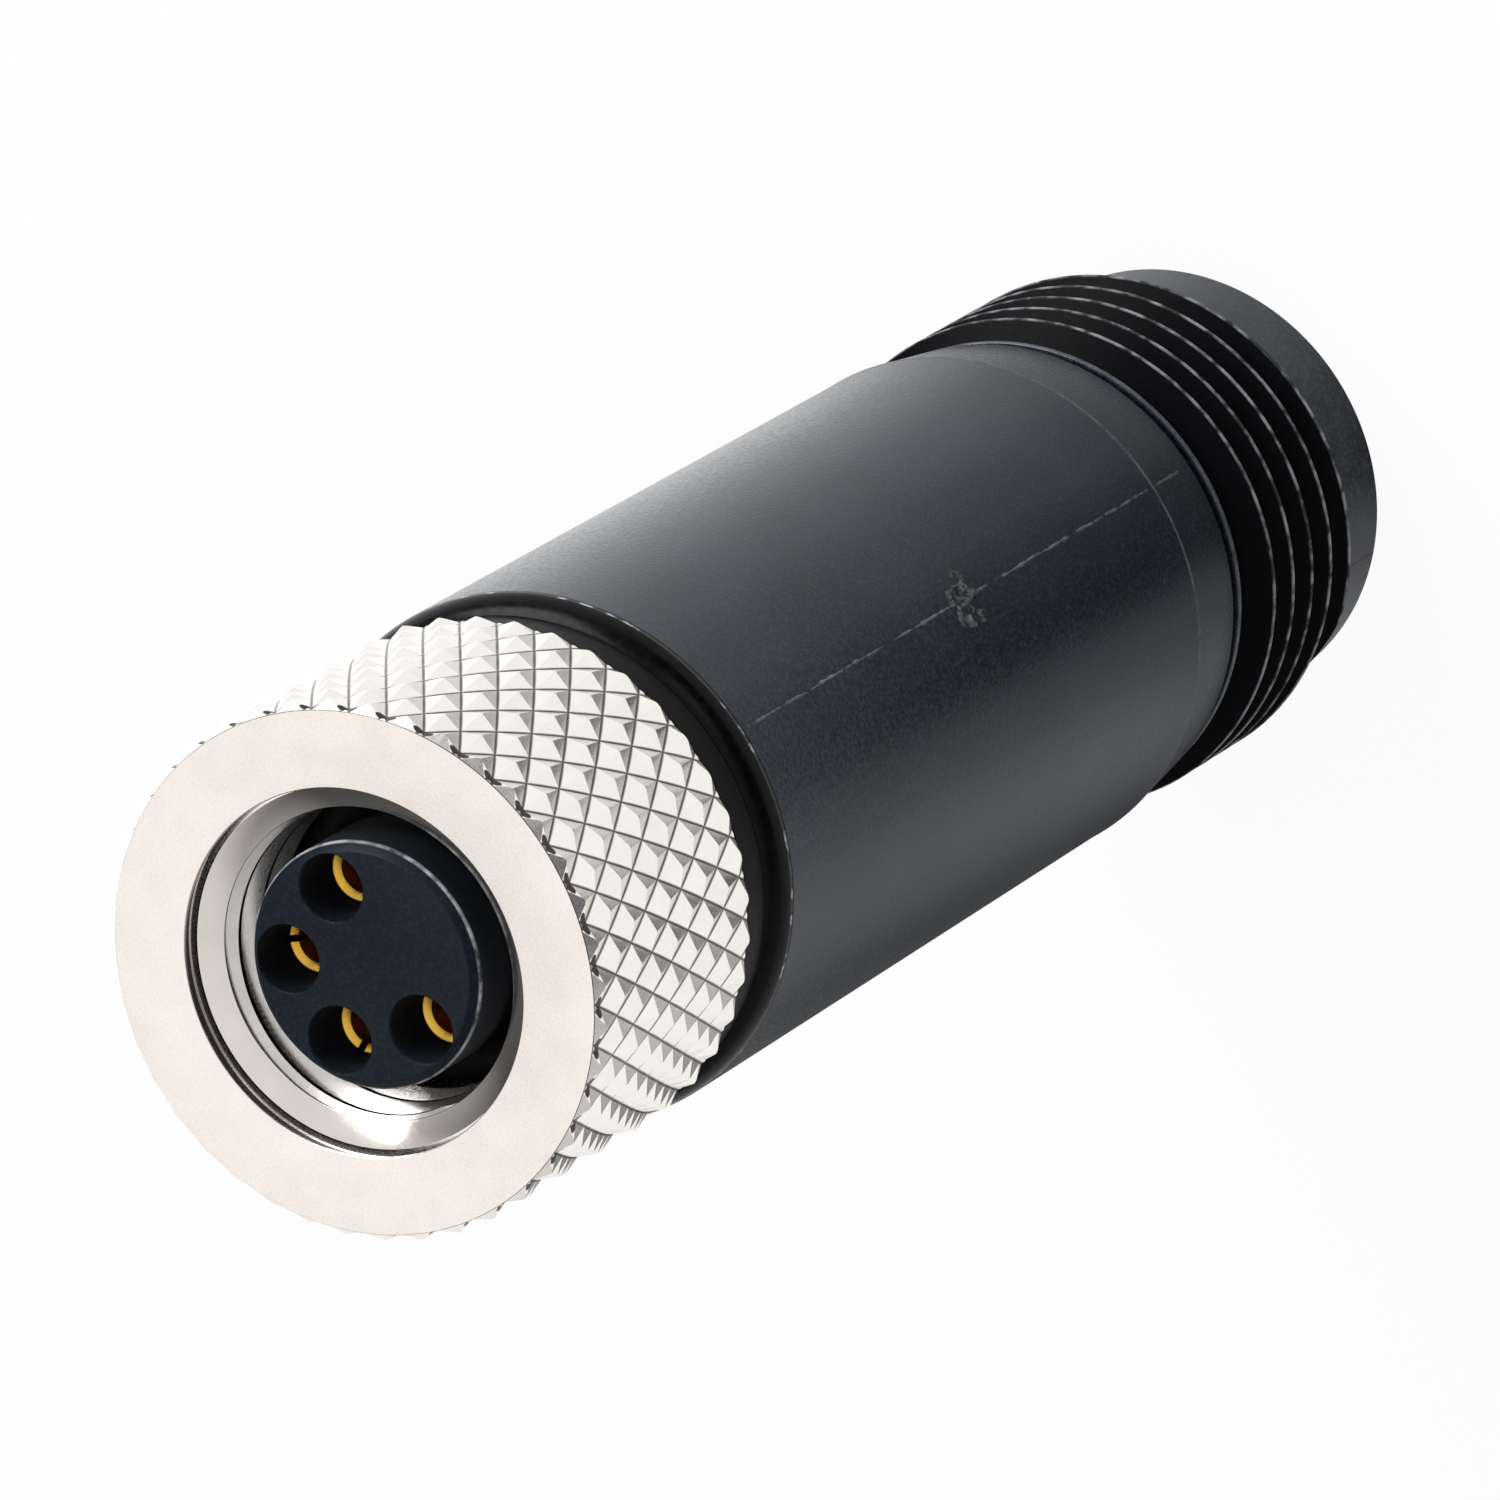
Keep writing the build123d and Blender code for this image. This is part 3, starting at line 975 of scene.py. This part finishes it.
@dataclass
class CouplingNut:
    """Knurled nut with its satin face, countersink and inner thread."""

    base: float = 33.2
    top: float = 40.2
    root_radius: float = 5.88
    tip_radius: float = 6.09
    teeth: int = 40
    rows: int = 8
    edge: float = 0.2
    chamfer: float = 0.24
    blunt_share: float = 0.1
    blunt_rise: float = 0.012
    mouth_radius: float = 4.15
    mouth_lip: float = 0.1
    mouth_wall: float = 0.45
    mouth_ledge: float = 0.06
    undercut: float = 0.12
    mouth_base: float = 39.5
    groove_radius: float = 4.0
    crest_radius: float = 3.46
    crest_room: float = 0.04
    thread_lead: float = 0.25
    thread_gap: float = 0.2
    relief_radius: float = 4.15
    relief_base: float = 34.6
    relief_top: float = 36.4
    lip_radius: float = 3.3
    backing: float = 0.1
    knurl_backing: float = 0.03

    def row_height(self) -> float:
        """Height from one row of teeth to the next."""
        return (self.top - self.base - 2 * self.edge) / self.rows

    def corner(self, half_steps: float, radius: float, height: float) -> Vector:
        """Point of a tooth, in half tooth steps from its middle."""
        angle = math.pi * half_steps / self.teeth
        return Vector((radius * MM * math.cos(angle), radius * MM * math.sin(angle), height * MM))

    def tooth(self, name: str) -> Piece:
        """Makes one pyramid of the knurl, with a blunt tip.

        Args:
            name: Name of the helper object.

        Returns:
            The tooth, at the angle 0 and the height 0.
        """
        rise, share = self.row_height(), self.blunt_share
        blunt = self.root_radius + (1 - share) * (self.tip_radius - self.root_radius)
        shape = bmesh.new()
        foot = [(1.0, 0.0), (0.0, rise), (-1.0, 0.0), (0.0, -rise)]
        low = [shape.verts.new(self.corner(across, self.root_radius, up)) for across, up in foot]
        high = [shape.verts.new(self.corner(across * share, blunt, up * share)) for across, up in foot]
        join_rings(shape, low, high)
        join_rings(shape, high, [shape.verts.new(self.corner(0.0, blunt + self.blunt_rise, 0.0))])
        return add_piece(name, shape)

    def end_tooth(self, name: str, way: float) -> Piece:
        """Makes the last tooth at an end of the nut, cut by the end's chamfer.

        Args:
            name: Name of the helper object.
            way: 1 for the upper end, -1 for the lower.

        Returns:
            The tooth, at the angle 0 and the height 0, with half of the groove beside it on each side.
        """
        rise, depth = self.row_height(), self.tip_radius - self.root_radius
        cut = self.edge / self.chamfer
        slopes = 1 / rise + 1 / self.chamfer
        tip, spur = (1 - cut) / slopes, cut / slopes
        shape = bmesh.new()

        def vert(half_steps: float, lift: float, height: float) -> BMVert:
            """Adds one point, with its height above the grooves as a share of the tooth."""
            return shape.verts.new(self.corner(half_steps, self.root_radius + lift * depth, way * height))

        bottom, peak = vert(0, 0, -rise), vert(0, 1 - tip / rise, -tip)
        middle = vert(0, 0, self.edge)
        for side in (1.0, -1.0):
            valley, flank = vert(side, 0, 0), vert(side * (1 - cut), cut, 0)
            rim = vert(side * (1 - self.edge / rise), 0, self.edge)
            spike, end = vert(side, spur / rise, spur), vert(side, 0, self.edge)
            for corners in (
                (bottom, valley, flank, peak),
                (flank, valley, rim),
                (peak, flank, rim, middle),
                (valley, spike, rim),
                (spike, end, rim),
            ):
                shape.faces.new(corners if side * way > 0 else corners[::-1])
        bmesh.ops.remove_doubles(shape, verts=shape.verts, dist=0.001 * MM)
        return add_piece(name, shape)

    def close(self, mesh: Mesh) -> None:
        """Closes the knurl with a wall behind its teeth.

        Args:
            mesh: The knurl, open at its two ends.
        """
        shape = bmesh.new()
        shape.from_mesh(mesh)
        rims = [edge for edge in shape.edges if edge.is_boundary]
        grown = bmesh.ops.extrude_edge_only(shape, edges=rims)["geom"]
        middle = Matrix.Translation((0.0, 0.0, (self.base + self.top) / 2 * MM))
        across = 1 - self.knurl_backing / self.root_radius
        along = 1 - 2 * self.backing / (self.top - self.base)
        inward = middle @ Matrix.Diagonal((across, across, along, 1.0)) @ middle.inverted()
        points = [part for part in grown if isinstance(part, BMVert)]
        bmesh.ops.transform(shape, matrix=inward, verts=points)
        ends = [part for part in grown if isinstance(part, BMEdge) and part.is_boundary]
        bmesh.ops.bridge_loops(shape, edges=ends)
        bmesh.ops.recalc_face_normals(shape, faces=shape.faces[:])
        shape.to_mesh(mesh)
        shape.free()

    def knurl(self) -> None:
        """Makes the knurled outside."""
        tooth = self.tooth("tooth")
        lower, upper = self.end_tooth("lower_end_tooth", -1.0), self.end_tooth("upper_end_tooth", 1.0)
        values = {
            "Tooth": tooth,
            "Lower End": lower,
            "Upper End": upper,
            "Teeth": self.teeth,
            "Rows": self.rows,
            "Row Height": self.row_height() * MM,
            "First Height": (self.base + self.edge) * MM,
        }
        piece = knurl_tree().apply("nut_knurl", NICKEL_KNURL, values)
        discard(tooth, lower, upper)
        self.close(piece.data)
        dress(piece, Rider.NUT, "nickel")

    def shell(self) -> None:
        """Makes the face, the countersink, the bore and the rear, which the knurl closes on the outside."""
        lip, floor = self.top - self.mouth_lip, self.top - self.mouth_wall
        hollow, inside = self.mouth_radius + self.undercut, self.root_radius - self.backing
        corners = [
            (self.root_radius, self.top, 0),
            (self.mouth_radius, self.top, 0.03),
            (self.mouth_radius, lip, 0.02),
            (hollow, lip - self.undercut, 0.02),
            (hollow, floor, 0.02),
            (self.mouth_radius - self.mouth_ledge, floor, 0.02),
            (self.crest_radius + self.crest_room, self.mouth_base, 0.03),
            (self.groove_radius, self.mouth_base - self.thread_lead, 0),
            (self.groove_radius, self.relief_top, 0),
            (self.relief_radius, self.relief_top, 0),
            (self.relief_radius, self.relief_base, 0),
            (self.lip_radius, self.relief_base, 0.05),
            (self.lip_radius, self.base, 0.08),
            (self.root_radius, self.base, 0),
            (inside, self.base + self.backing, 0),
            (inside, self.top - self.backing, 0),
        ]
        piece = turned_piece("nut_shell", corners, NICKEL, closed=True)
        dress(piece, Rider.NUT, "nickel", "coupling_nut")

    def thread(self) -> None:
        """Winds the inner thread."""
        thread = ScrewThread(
            ThreadSide.INWARD, self.groove_radius, self.crest_radius, self.relief_top + self.thread_gap,
            turns=self.mouth_base - self.relief_top - self.thread_lead, crest=0.125, sink=0.01,
        )
        dress(thread.piece("nut_thread", NICKEL_THREAD), Rider.NUT, "nickel")

    def build(self) -> None:
        """Builds the nut and ties it to its body."""
        self.shell()
        self.knurl()
        self.thread()


@dataclass
class SocketInsert:
    """Socket carrier with its contacts and seal ring, and the bush round it."""

    top: float = 39.75
    base: float = 27.1
    foot_top: float = 28.1
    radius: float = 2.8
    chamfer: float = 0.2
    play: float = 0.03
    neck_radius: float = 3.25
    flange_radius: float = 3.85
    flange_base: float = 34.7
    flange_top: float = 35.45
    hole_radius: float = 0.75
    hole_round: float = 0.05
    hole_lift: float = 0.004
    circle: ContactCircle = ContactCircle(1.85, 77.25, 68.5)
    contact_top: float = 38.45
    contact_base: float = 25.1
    contact_radius: float = 0.72
    bore_radius: float = 0.52
    bore_depth: float = 5.2
    bore_tip: float = 0.25
    lead_depth: float = 0.12
    slot_width: float = 0.16
    slot_length: float = 3.0
    seal_section: float = 0.9
    beyond: float = 1.0

    def bush(self) -> None:
        """Makes the flanged bush that keeps the nut on."""
        bore = self.radius + self.play
        corners = [
            (bore, self.foot_top, 0),
            (self.neck_radius, self.foot_top, 0.05),
            (self.neck_radius, self.flange_base, 0.05),
            (self.flange_radius, self.flange_base, 0.08),
            (self.flange_radius, self.flange_top, 0.08),
            (bore, self.flange_top, 0),
        ]
        piece = turned_piece("bush", corners, CARRIER_BLACK, closed=True)
        dress(piece, Rider.ADAPTER, "carrier_black", "nut_bush")

    def carrier(self) -> None:
        """Makes the carrier with its four holes."""
        corners = [
            (0, self.base, 0),
            (self.neck_radius, self.base, 0.05),
            (self.neck_radius, self.foot_top, 0),
            (self.radius, self.foot_top, 0),
            (self.radius, self.top - self.chamfer, 0.08),
            (self.radius - self.chamfer, self.top, 0.06),
            (0, self.top, 0),
        ]
        piece = turned_piece("carrier", corners, CARRIER_BLACK)
        rim = self.hole_radius + self.hole_round
        hole = [
            (0, self.base - self.beyond, 0),
            (self.hole_radius, self.base - self.beyond, 0),
            (self.hole_radius, self.top - self.hole_round, 0.1),
            (rim, self.top + self.hole_lift, 0),
            (rim, self.top + self.beyond, 0),
            (0, self.top + self.beyond, 0),
        ]
        cutter = turned_piece("hole", hole, steps=4, segments=64)
        cut_away(piece, self.circle.copies(cutter, "holes", CARRIER_BLACK))
        dress(piece, Rider.ADAPTER, "carrier_black", "socket_carrier")

    def contacts(self) -> None:
        """Makes the four slotted contacts."""
        floor = self.contact_top - self.bore_depth
        corners = [
            (0, self.contact_base, 0),
            (self.contact_radius, self.contact_base, 0.05),
            (self.contact_radius, self.contact_top, 0.03),
            (self.bore_radius, self.contact_top - self.lead_depth, 0.02),
            (self.bore_radius, floor, 0),
            (0, floor - self.bore_tip, 0),
        ]
        contact = turned_piece("contact", corners, steps=4, segments=48)
        length = self.slot_length + self.beyond
        size = (4 * self.contact_radius, self.slot_width, length)
        slot = block(size, (0.0, 0.0, self.contact_top + self.beyond - length / 2))
        cut_away(contact, add_piece("slot", slot))
        piece = self.circle.copies(contact, "socket_contacts", GOLD)
        nodes = [f"socket_contact_{number}" for number in range(1, CONTACTS + 1)]
        dress(piece, Rider.ADAPTER, "gold", *nodes)

    def seal(self) -> None:
        """Makes the seal ring on the flange."""
        half = self.seal_section / 2
        middle, height = self.radius + self.play + half, self.flange_top + half
        section = [(middle + half * x, height + half * y, 0) for x, y in unit_circle(32)]
        piece = turned_piece("seal", section, SEAL_RUBBER, closed=True)
        soften(piece, 60.0)
        dress(piece, Rider.ADAPTER, "seal_rubber", "front_seal")

    def build(self) -> None:
        """Builds the insert and ties it to its body."""
        self.carrier()
        self.bush()
        self.contacts()
        self.seal()


@dataclass
class MouldedBody:
    """Body with its mould seams and gate mark, and the glossy ring in front of it."""

    base: float = 8.1
    top: float = 32.1
    taper_top: float = 11.1
    rear_radius: float = 5.62
    radius: float = 6.0
    front_radius: float = 6.08
    front_round: float = 0.72
    rim_base: float = 31.36
    rear_round: float = 0.08
    lip_top: float = 8.27
    lip_depth: float = 0.25
    groove_top: float = 8.68
    crease: float = 0.05
    crease_dip: float = 0.004
    crease_rise: float = 0.014
    ring_top: float = 33.1
    ring_radius: float = 5.73
    ring_round: float = 0.3
    neck_radius: float = 3.25
    segments: int = 192
    seam_steps: int = 260
    seam_rear: float = 1.4
    seam_front: float = 0.9
    seam_rise: float = 0.018
    seam_width: float = 0.07
    seam_wear: float = 0.03
    seam_sink: float = 0.03
    gate_height: float = 20.73
    gate_radius: float = 0.84
    gate_rings: int = 14
    gate_segments: int = 48
    gate_backing: float = 0.15
    stub_height: float = 0.09
    stub_share: float = 0.6
    tear_height: float = 0.16

    def radius_at(self, height: float) -> float:
        """Radius of the body without its end roundings.

        Args:
            height: Where it is asked for.

        Returns:
            The radius there.
        """
        if height < self.taper_top:
            share = (height - self.base) / (self.taper_top - self.base)
            return self.rear_radius + share * (self.radius - self.rear_radius)
        share = (height - self.taper_top) / (self.top - self.taper_top)
        return self.radius + share * (self.front_radius - self.radius)

    def shell(self) -> None:
        """Makes the plain body."""
        corners = [
            (0, self.base, 0),
            (self.rear_radius, self.base, 0.05),
            (self.rear_radius, self.lip_top, 0.04),
            (self.rear_radius - self.lip_depth, self.lip_top, 0),
            (self.rear_radius - self.lip_depth, self.groove_top, 0),
            (self.radius_at(self.groove_top), self.groove_top, self.rear_round),
            (self.radius - self.crease_dip, self.taper_top - self.crease, 0.02),
            (self.radius + self.crease_rise, self.taper_top, 0.02),
            (self.radius, self.taper_top + self.crease, 0.02),
            (self.front_radius, self.rim_base, 0),
            (0, self.rim_base, 0),
        ]
        piece = turned_piece("body_shell", corners, BODY_BLACK, 10, segments=self.segments)
        dress(piece, Rider.ADAPTER, "body_black", "body")

    def rim(self) -> None:
        """Makes the glossy rounded edge that closes the body at the front."""
        corners = [
            (0, self.rim_base, 0),
            (self.front_radius, self.rim_base, 0),
            (self.front_radius, self.top, self.front_round),
            (0, self.top, 0),
        ]
        piece = turned_piece("front_rim", corners, RIM_BLACK, 12, segments=self.segments)
        dress(piece, Rider.ADAPTER, "body_black")

    def seam(self, name: str, side: float) -> None:
        """Makes the line that the mould's halves leave along the body, which dips under where it is broken.

        Args:
            name: Name of the piece.
            side: 1 for the side towards +X, -1 for the other.
        """
        start, end = self.base + self.seam_rear, self.top - self.seam_front
        rows = []
        for step in range(self.seam_steps + 1):
            height = start + (end - start) * step / self.seam_steps
            wave = noise.noise(Vector((side * 3.1, height * 1.1, 0.4)))
            fine = noise.noise(Vector((side * 7.7, height * 5.3, 2.1)))
            rise = max(-0.02, self.seam_rise + self.seam_wear * wave + self.seam_wear * fine)
            width = self.seam_width + self.seam_wear * fine
            drift = self.seam_wear * noise.noise(Vector((height * 0.9, 5.0, side)))
            surface = self.radius_at(height)
            corners = ((-width, -self.seam_sink), (0.0, rise), (width, -self.seam_sink))
            places = [(side * (surface + lift), (across + drift) * side) for across, lift in corners]
            rows.append([Vector((*place, height)) for place in places])
        dress(ridge_piece(name, rows, SEAM_BLACK), Rider.ADAPTER, "body_black")

    def gate_point(self, across: float, along: float, share: float) -> Vector:
        """Point of the torn stub.

        Args:
            across: Distance from its middle round the body.
            along: Distance from its middle along the body.
            share: Distance from its middle as a share of its radius.

        Returns:
            The point, in metres.
        """
        rough = noise.noise(Vector((across * 4.0, along * 4.0, 1.3)))
        lumps = noise.noise(Vector((across * 9.0, along * 9.0, 4.2)))
        stub = self.stub_height * max(0.0, 1.0 - share / self.stub_share) * (0.7 + 1.4 * rough)
        torn = self.tear_height * (rough + 0.7 * lumps) * (1.0 - share**3)
        lift = max(0.02 - 0.06 * share, stub + torn) - 0.03 * share**4
        bulge = math.sqrt(self.radius_at(self.gate_height) ** 2 - across**2)
        return Vector(((bulge + lift) * MM, across * MM, (self.gate_height + along) * MM))

    def gate(self) -> None:
        """Makes the torn stub where the plastic ran into the mould."""
        shape = bmesh.new()
        rows: list[list[BMVert]] = []
        for ring in range(self.gate_rings + 1):
            reach, share = self.gate_radius * ring / self.gate_rings, ring / self.gate_rings
            places = unit_circle(self.gate_segments if ring else 1)
            rows.append([shape.verts.new(self.gate_point(reach * x, reach * y, share)) for x, y in places])
        inside = self.radius_at(self.gate_height) - self.gate_backing
        rows.append([shape.verts.new((inside * MM, 0.0, self.gate_height * MM))])
        for low, high in zip(rows, rows[1:]):
            join_rings(shape, low, high)
        bmesh.ops.recalc_face_normals(shape, faces=shape.faces[:])
        piece = add_piece("gate_mark", shape, GATE_BLACK)
        soften(piece, 40.0)
        dress(piece, Rider.ADAPTER, "body_black")

    def ring(self) -> None:
        """Makes the glossy stop ring."""
        corners = [
            (self.neck_radius, self.top, 0),
            (self.ring_radius, self.top, 0),
            (self.ring_radius, self.ring_top, self.ring_round),
            (self.neck_radius, self.ring_top, 0),
        ]
        piece = turned_piece("ring", corners, RING_BLACK, 8, closed=True)
        dress(piece, Rider.ADAPTER, "gloss_black", "stop_ring")

    def build(self) -> None:
        """Builds the body and ties it to the frame."""
        self.shell()
        self.rim()
        self.seam("front_seam", 1.0)
        self.seam("back_seam", -1.0)
        self.gate()
        self.ring()


@dataclass
class PlugEnd:
    """Threaded sleeve, housing with its collar and cavity, key and pins."""

    collar_length: float = 2.6
    collar_radius: float = 5.26
    collar_round: float = 0.15
    cavity_radius: float = 4.25
    cavity_depth: float = 8.0
    cavity_chamfer: float = 0.2
    tube_radius: float = 4.87
    tube_top: float = 12.5
    sleeve_bore: float = 4.9
    sleeve_top: float = 8.1
    root_radius: float = 5.32
    crest_radius: float = 5.93
    thread_start: float = 2.85
    thread_angle: float = -90.0
    thread_turns: float = 4.78
    undercut_base: float = 7.85
    undercut_radius: float = 5.0
    key_width: float = 1.2
    key_depth: float = 0.8
    key_root: float = 0.5
    key_lead: float = 0.6
    key_round: float = 0.1
    pin_radius: float = 0.5
    pin_recess: float = 1.4
    pin_nose: float = 0.35
    pin_seat: float = 0.7
    pin_shoulder: float = 0.9
    pin_shoulder_base: float = 9.6
    pin_top: float = 14.1
    pin_lead: float = 0.1
    play: float = 0.03
    beyond: float = 1.0
    circle: ContactCircle = ContactCircle(4.0 / math.sqrt(2.0), 45.0, 90.0)
    seam_angle: float = 312.4
    seam_steps: int = 24
    seam_width: float = 0.05
    seam_rise: float = 0.018
    seam_wear: float = 0.014
    seam_sink: float = 0.03

    def housing(self) -> None:
        """Makes the tube with its collar."""
        corners = [
            (self.cavity_radius, self.tube_top, 0),
            (self.cavity_radius, self.cavity_chamfer, 0.05),
            (self.cavity_radius + self.cavity_chamfer, 0, 0.04),
            (self.collar_radius, 0, self.collar_round),
            (self.collar_radius, self.collar_length, 0),
            (self.tube_radius, self.collar_length, 0),
            (self.tube_radius, self.tube_top, 0),
        ]
        piece = turned_piece("housing", corners, COLLAR_BLACK, closed=True)
        dress(piece, Rider.ADAPTER, "collar_black", "pin_housing")

    def key(self) -> None:
        """Makes the key rib in the cavity."""
        depth, length = self.key_depth + self.key_root, self.cavity_depth - self.key_lead
        middle = (self.cavity_radius - self.key_depth + depth / 2, 0.0, self.key_lead + length / 2)
        rib = block((depth, self.key_width, length), middle, self.key_round)
        piece = add_piece("key_rib", rib, COLLAR_BLACK)
        soften(piece)
        dress(piece, Rider.ADAPTER, "collar_black")

    def seam(self) -> None:
        """Makes the short mould seam on the collar."""
        facing = Matrix.Rotation(math.radians(self.seam_angle), 4, "Z")
        rows = []
        for step in range(self.seam_steps + 1):
            height = self.collar_round + (self.collar_length - self.collar_round) * step / self.seam_steps
            rise = self.seam_rise + self.seam_wear * noise.noise(Vector((1.7, height * 4.0, 0.2)))
            corners = ((-self.seam_width, -self.seam_sink), (0.0, rise), (self.seam_width, -self.seam_sink))
            places = [Vector((self.collar_radius + lift, across, height)) for across, lift in corners]
            rows.append([facing @ place for place in places])
        dress(ridge_piece("collar_seam", rows, SEAM_BLACK), Rider.ADAPTER, "collar_black")

    def floor(self) -> None:
        """Makes the carrier of the pins, which closes the cavity, with a hole round each pin."""
        rim = self.cavity_radius - self.play
        corners = [
            (0, self.cavity_depth, 0),
            (rim, self.cavity_depth, 0.05),
            (rim, self.tube_top, 0),
            (0, self.tube_top, 0),
        ]
        piece = turned_piece("pin_floor", corners, COLLAR_BLACK)
        hole, step = self.pin_seat + self.play, self.pin_shoulder + self.play
        cut = [
            (0, self.cavity_depth - self.beyond, 0),
            (hole + self.pin_lead, self.cavity_depth - self.beyond, 0),
            (hole + self.pin_lead, self.cavity_depth, 0),
            (hole, self.cavity_depth + self.pin_lead, 0),
            (hole, self.pin_shoulder_base, 0),
            (step, self.pin_shoulder_base, 0),
            (step, self.tube_top + self.beyond, 0),
            (0, self.tube_top + self.beyond, 0),
        ]
        cutter = turned_piece("pin_hole", cut, segments=48)
        cut_away(piece, self.circle.copies(cutter, "pin_holes", COLLAR_BLACK))
        dress(piece, Rider.ADAPTER, "collar_black", "pin_carrier")

    def sleeve(self) -> None:
        """Makes the plain sleeve that carries the outer thread."""
        corners = [
            (self.sleeve_bore, self.collar_length, 0),
            (self.root_radius, self.collar_length, 0.04),
            (self.root_radius, self.undercut_base, 0.04),
            (self.undercut_radius, self.undercut_base, 0),
            (self.undercut_radius, self.sleeve_top, 0),
            (self.sleeve_bore, self.sleeve_top, 0),
        ]
        piece = turned_piece("sleeve", corners, THREAD_BLACK, closed=True)
        dress(piece, Rider.ADAPTER, "thread_black", "thread_sleeve")

    def thread(self) -> None:
        """Winds the outer thread."""
        thread = ScrewThread(
            ThreadSide.OUTWARD, self.root_radius, self.crest_radius, self.thread_start, self.thread_turns,
            crest=0.08, sink=0.02, run_in=0.1, start_angle=self.thread_angle,
        )
        dress(thread.piece("plug_thread", THREAD_BLACK), Rider.ADAPTER, "thread_black")

    def pins(self) -> None:
        """Makes the four pins."""
        corners = [
            (0, self.pin_recess, 0),
            (self.pin_radius, self.pin_recess, self.pin_nose),
            (self.pin_radius, self.cavity_depth, 0),
            (self.pin_seat, self.cavity_depth, 0),
            (self.pin_seat, self.pin_shoulder_base, 0),
            (self.pin_shoulder, self.pin_shoulder_base, 0),
            (self.pin_shoulder, self.pin_top, 0),
            (0, self.pin_top, 0),
        ]
        piece = self.circle.copies(turned_piece("pin", corners, steps=8, segments=48), "plug_pins", GOLD)
        nodes = [f"pin_contact_{number}" for number in range(1, CONTACTS + 1)]
        dress(piece, Rider.ADAPTER, "gold", *nodes)

    def build(self) -> None:
        """Builds the plug end and ties it to the frame."""
        self.housing()
        self.key()
        self.seam()
        self.floor()
        self.sleeve()
        self.thread()
        self.pins()


@dataclass
class InnerWires:
    """Insulated wires inside the body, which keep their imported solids."""

    finishes: tuple[MouldedPlastic, ...] = (WIRE_BROWN, WIRE_WHITE, WIRE_BLUE, WIRE_BLACK)

    def build(self, nodes: dict[str, Piece]) -> None:
        """Gives each wire its finish.

        Args:
            nodes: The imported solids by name.
        """
        for number, finish in enumerate(self.finishes, start=1):
            wire = nodes[f"wire_{number}"]
            coat(wire.data, finish)
            LOG.info("%s keeps its solid", wire.name)


@dataclass(frozen=True)
class SoftBox:
    """Square studio light."""

    name: str
    place: Corner
    size: float
    power: float

    def build(self, aim: Vector) -> None:
        """Hangs the light.

        Args:
            aim: Point that it faces.
        """
        lamp = bpy.data.lights.new(self.name, "AREA")
        lamp.shape = "SQUARE"
        lamp.size = self.size
        lamp.energy = self.power
        holder = bpy.data.objects.new(self.name, lamp)
        holder.location = self.place
        holder.rotation_euler = (aim - Vector(self.place)).to_track_quat("-Z", "Y").to_euler()
        bpy.context.scene.collection.objects.link(holder)


@dataclass
class Studio:
    """Pale floor, soft light and the camera, in metres."""

    eye: Corner = (0.18787, -0.007235, 0.31491)
    right: Corner = (0.70344, -0.53823, -0.46419)
    up: Corner = (0.46225, 0.84256, -0.27645)
    backward: Corner = (0.53991, -0.02011, 0.84149)
    lens: float = 372.0
    sensor: float = 36.0
    clip_start: float = 0.01
    floor_size: float = 2.0
    floor_drop: float = 0.00002
    sky_levels: tuple[Point2, ...] = ((0.0, 0.15), (0.3, 0.1), (0.52, 0.06), (0.78, 0.85), (1.0, 1.0))
    sky_strength: float = 0.8
    side_span: Point2 = (0.45, 0.85)
    side_level: float = 0.7
    aim: Corner = (0.0, 0.0, 0.03)
    lights: tuple[SoftBox, ...] = (
        SoftBox("key_light", (0.02, 0.46, 0.34), 0.34, 2.4),
        SoftBox("fill_light", (0.44, 0.17, 0.4), 0.2, 0.15),
        SoftBox("top_light", (-0.36, 0.0, 0.58), 0.42, 0.23),
    )

    def camera(self) -> None:
        """Sets the camera at the photograph's viewing angle."""
        data = bpy.data.cameras.new("camera")
        data.lens = self.lens
        data.sensor_width = self.sensor
        data.clip_start = self.clip_start
        holder = bpy.data.objects.new("camera", data)
        columns = [Vector(axis).normalized() for axis in (self.right, self.up, self.backward)]
        holder.matrix_world = Matrix.Translation(self.eye) @ Matrix(columns).transposed().to_4x4()
        bpy.context.scene.collection.objects.link(holder)
        bpy.context.scene.camera = holder

    def floor(self) -> None:
        """Lays the pale floor."""
        shape = bmesh.new()
        below = Matrix.Translation((0.0, 0.0, -self.floor_drop))
        bmesh.ops.create_grid(shape, x_segments=2, y_segments=2, size=self.floor_size, matrix=below)
        add_piece("floor", shape, PaleFloor())

    def world(self) -> None:
        """Fills the room with soft light from the ceiling and the two side walls."""
        world = bpy.data.worlds.new("studio")
        bpy.context.scene.world = world
        world.use_nodes = True
        tree = NodeWriter(world.node_tree)
        place = tree.node("ShaderNodeTexCoord").outputs["Generated"]
        way = tree.node("ShaderNodeSeparateXYZ", {0: place}).outputs
        sides = tree.spread(tree.math("ABSOLUTE", way["Y"]), self.side_span, (0.0, self.side_level))
        light = tree.math("MAXIMUM", tree.ramp(way["Z"], self.sky_levels), sides)
        sky = tree.result("ShaderNodeBackground", {"Color": light, "Strength": self.sky_strength})
        tree.node("ShaderNodeOutputWorld", {0: sky})

    def build(self) -> None:
        """Sets the stage."""
        bpy.context.scene.view_settings.view_transform = "Standard"
        self.camera()
        self.floor()
        self.world()
        for light in self.lights:
            light.build(Vector(self.aim))


def main() -> None:
    """Builds the adapter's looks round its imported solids."""
    logging.basicConfig(level=logging.INFO, format="%(name)s: %(message)s")
    discard(*bpy.data.objects)
    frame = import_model()
    for assembly in (CouplingNut(), SocketInsert(), MouldedBody(), PlugEnd()):
        LOG.info("building %s", type(assembly).__name__)
        assembly.build()
    InnerWires().build(frame["nodes"])
    Studio().build()


if __name__ == "__main__":
    main()
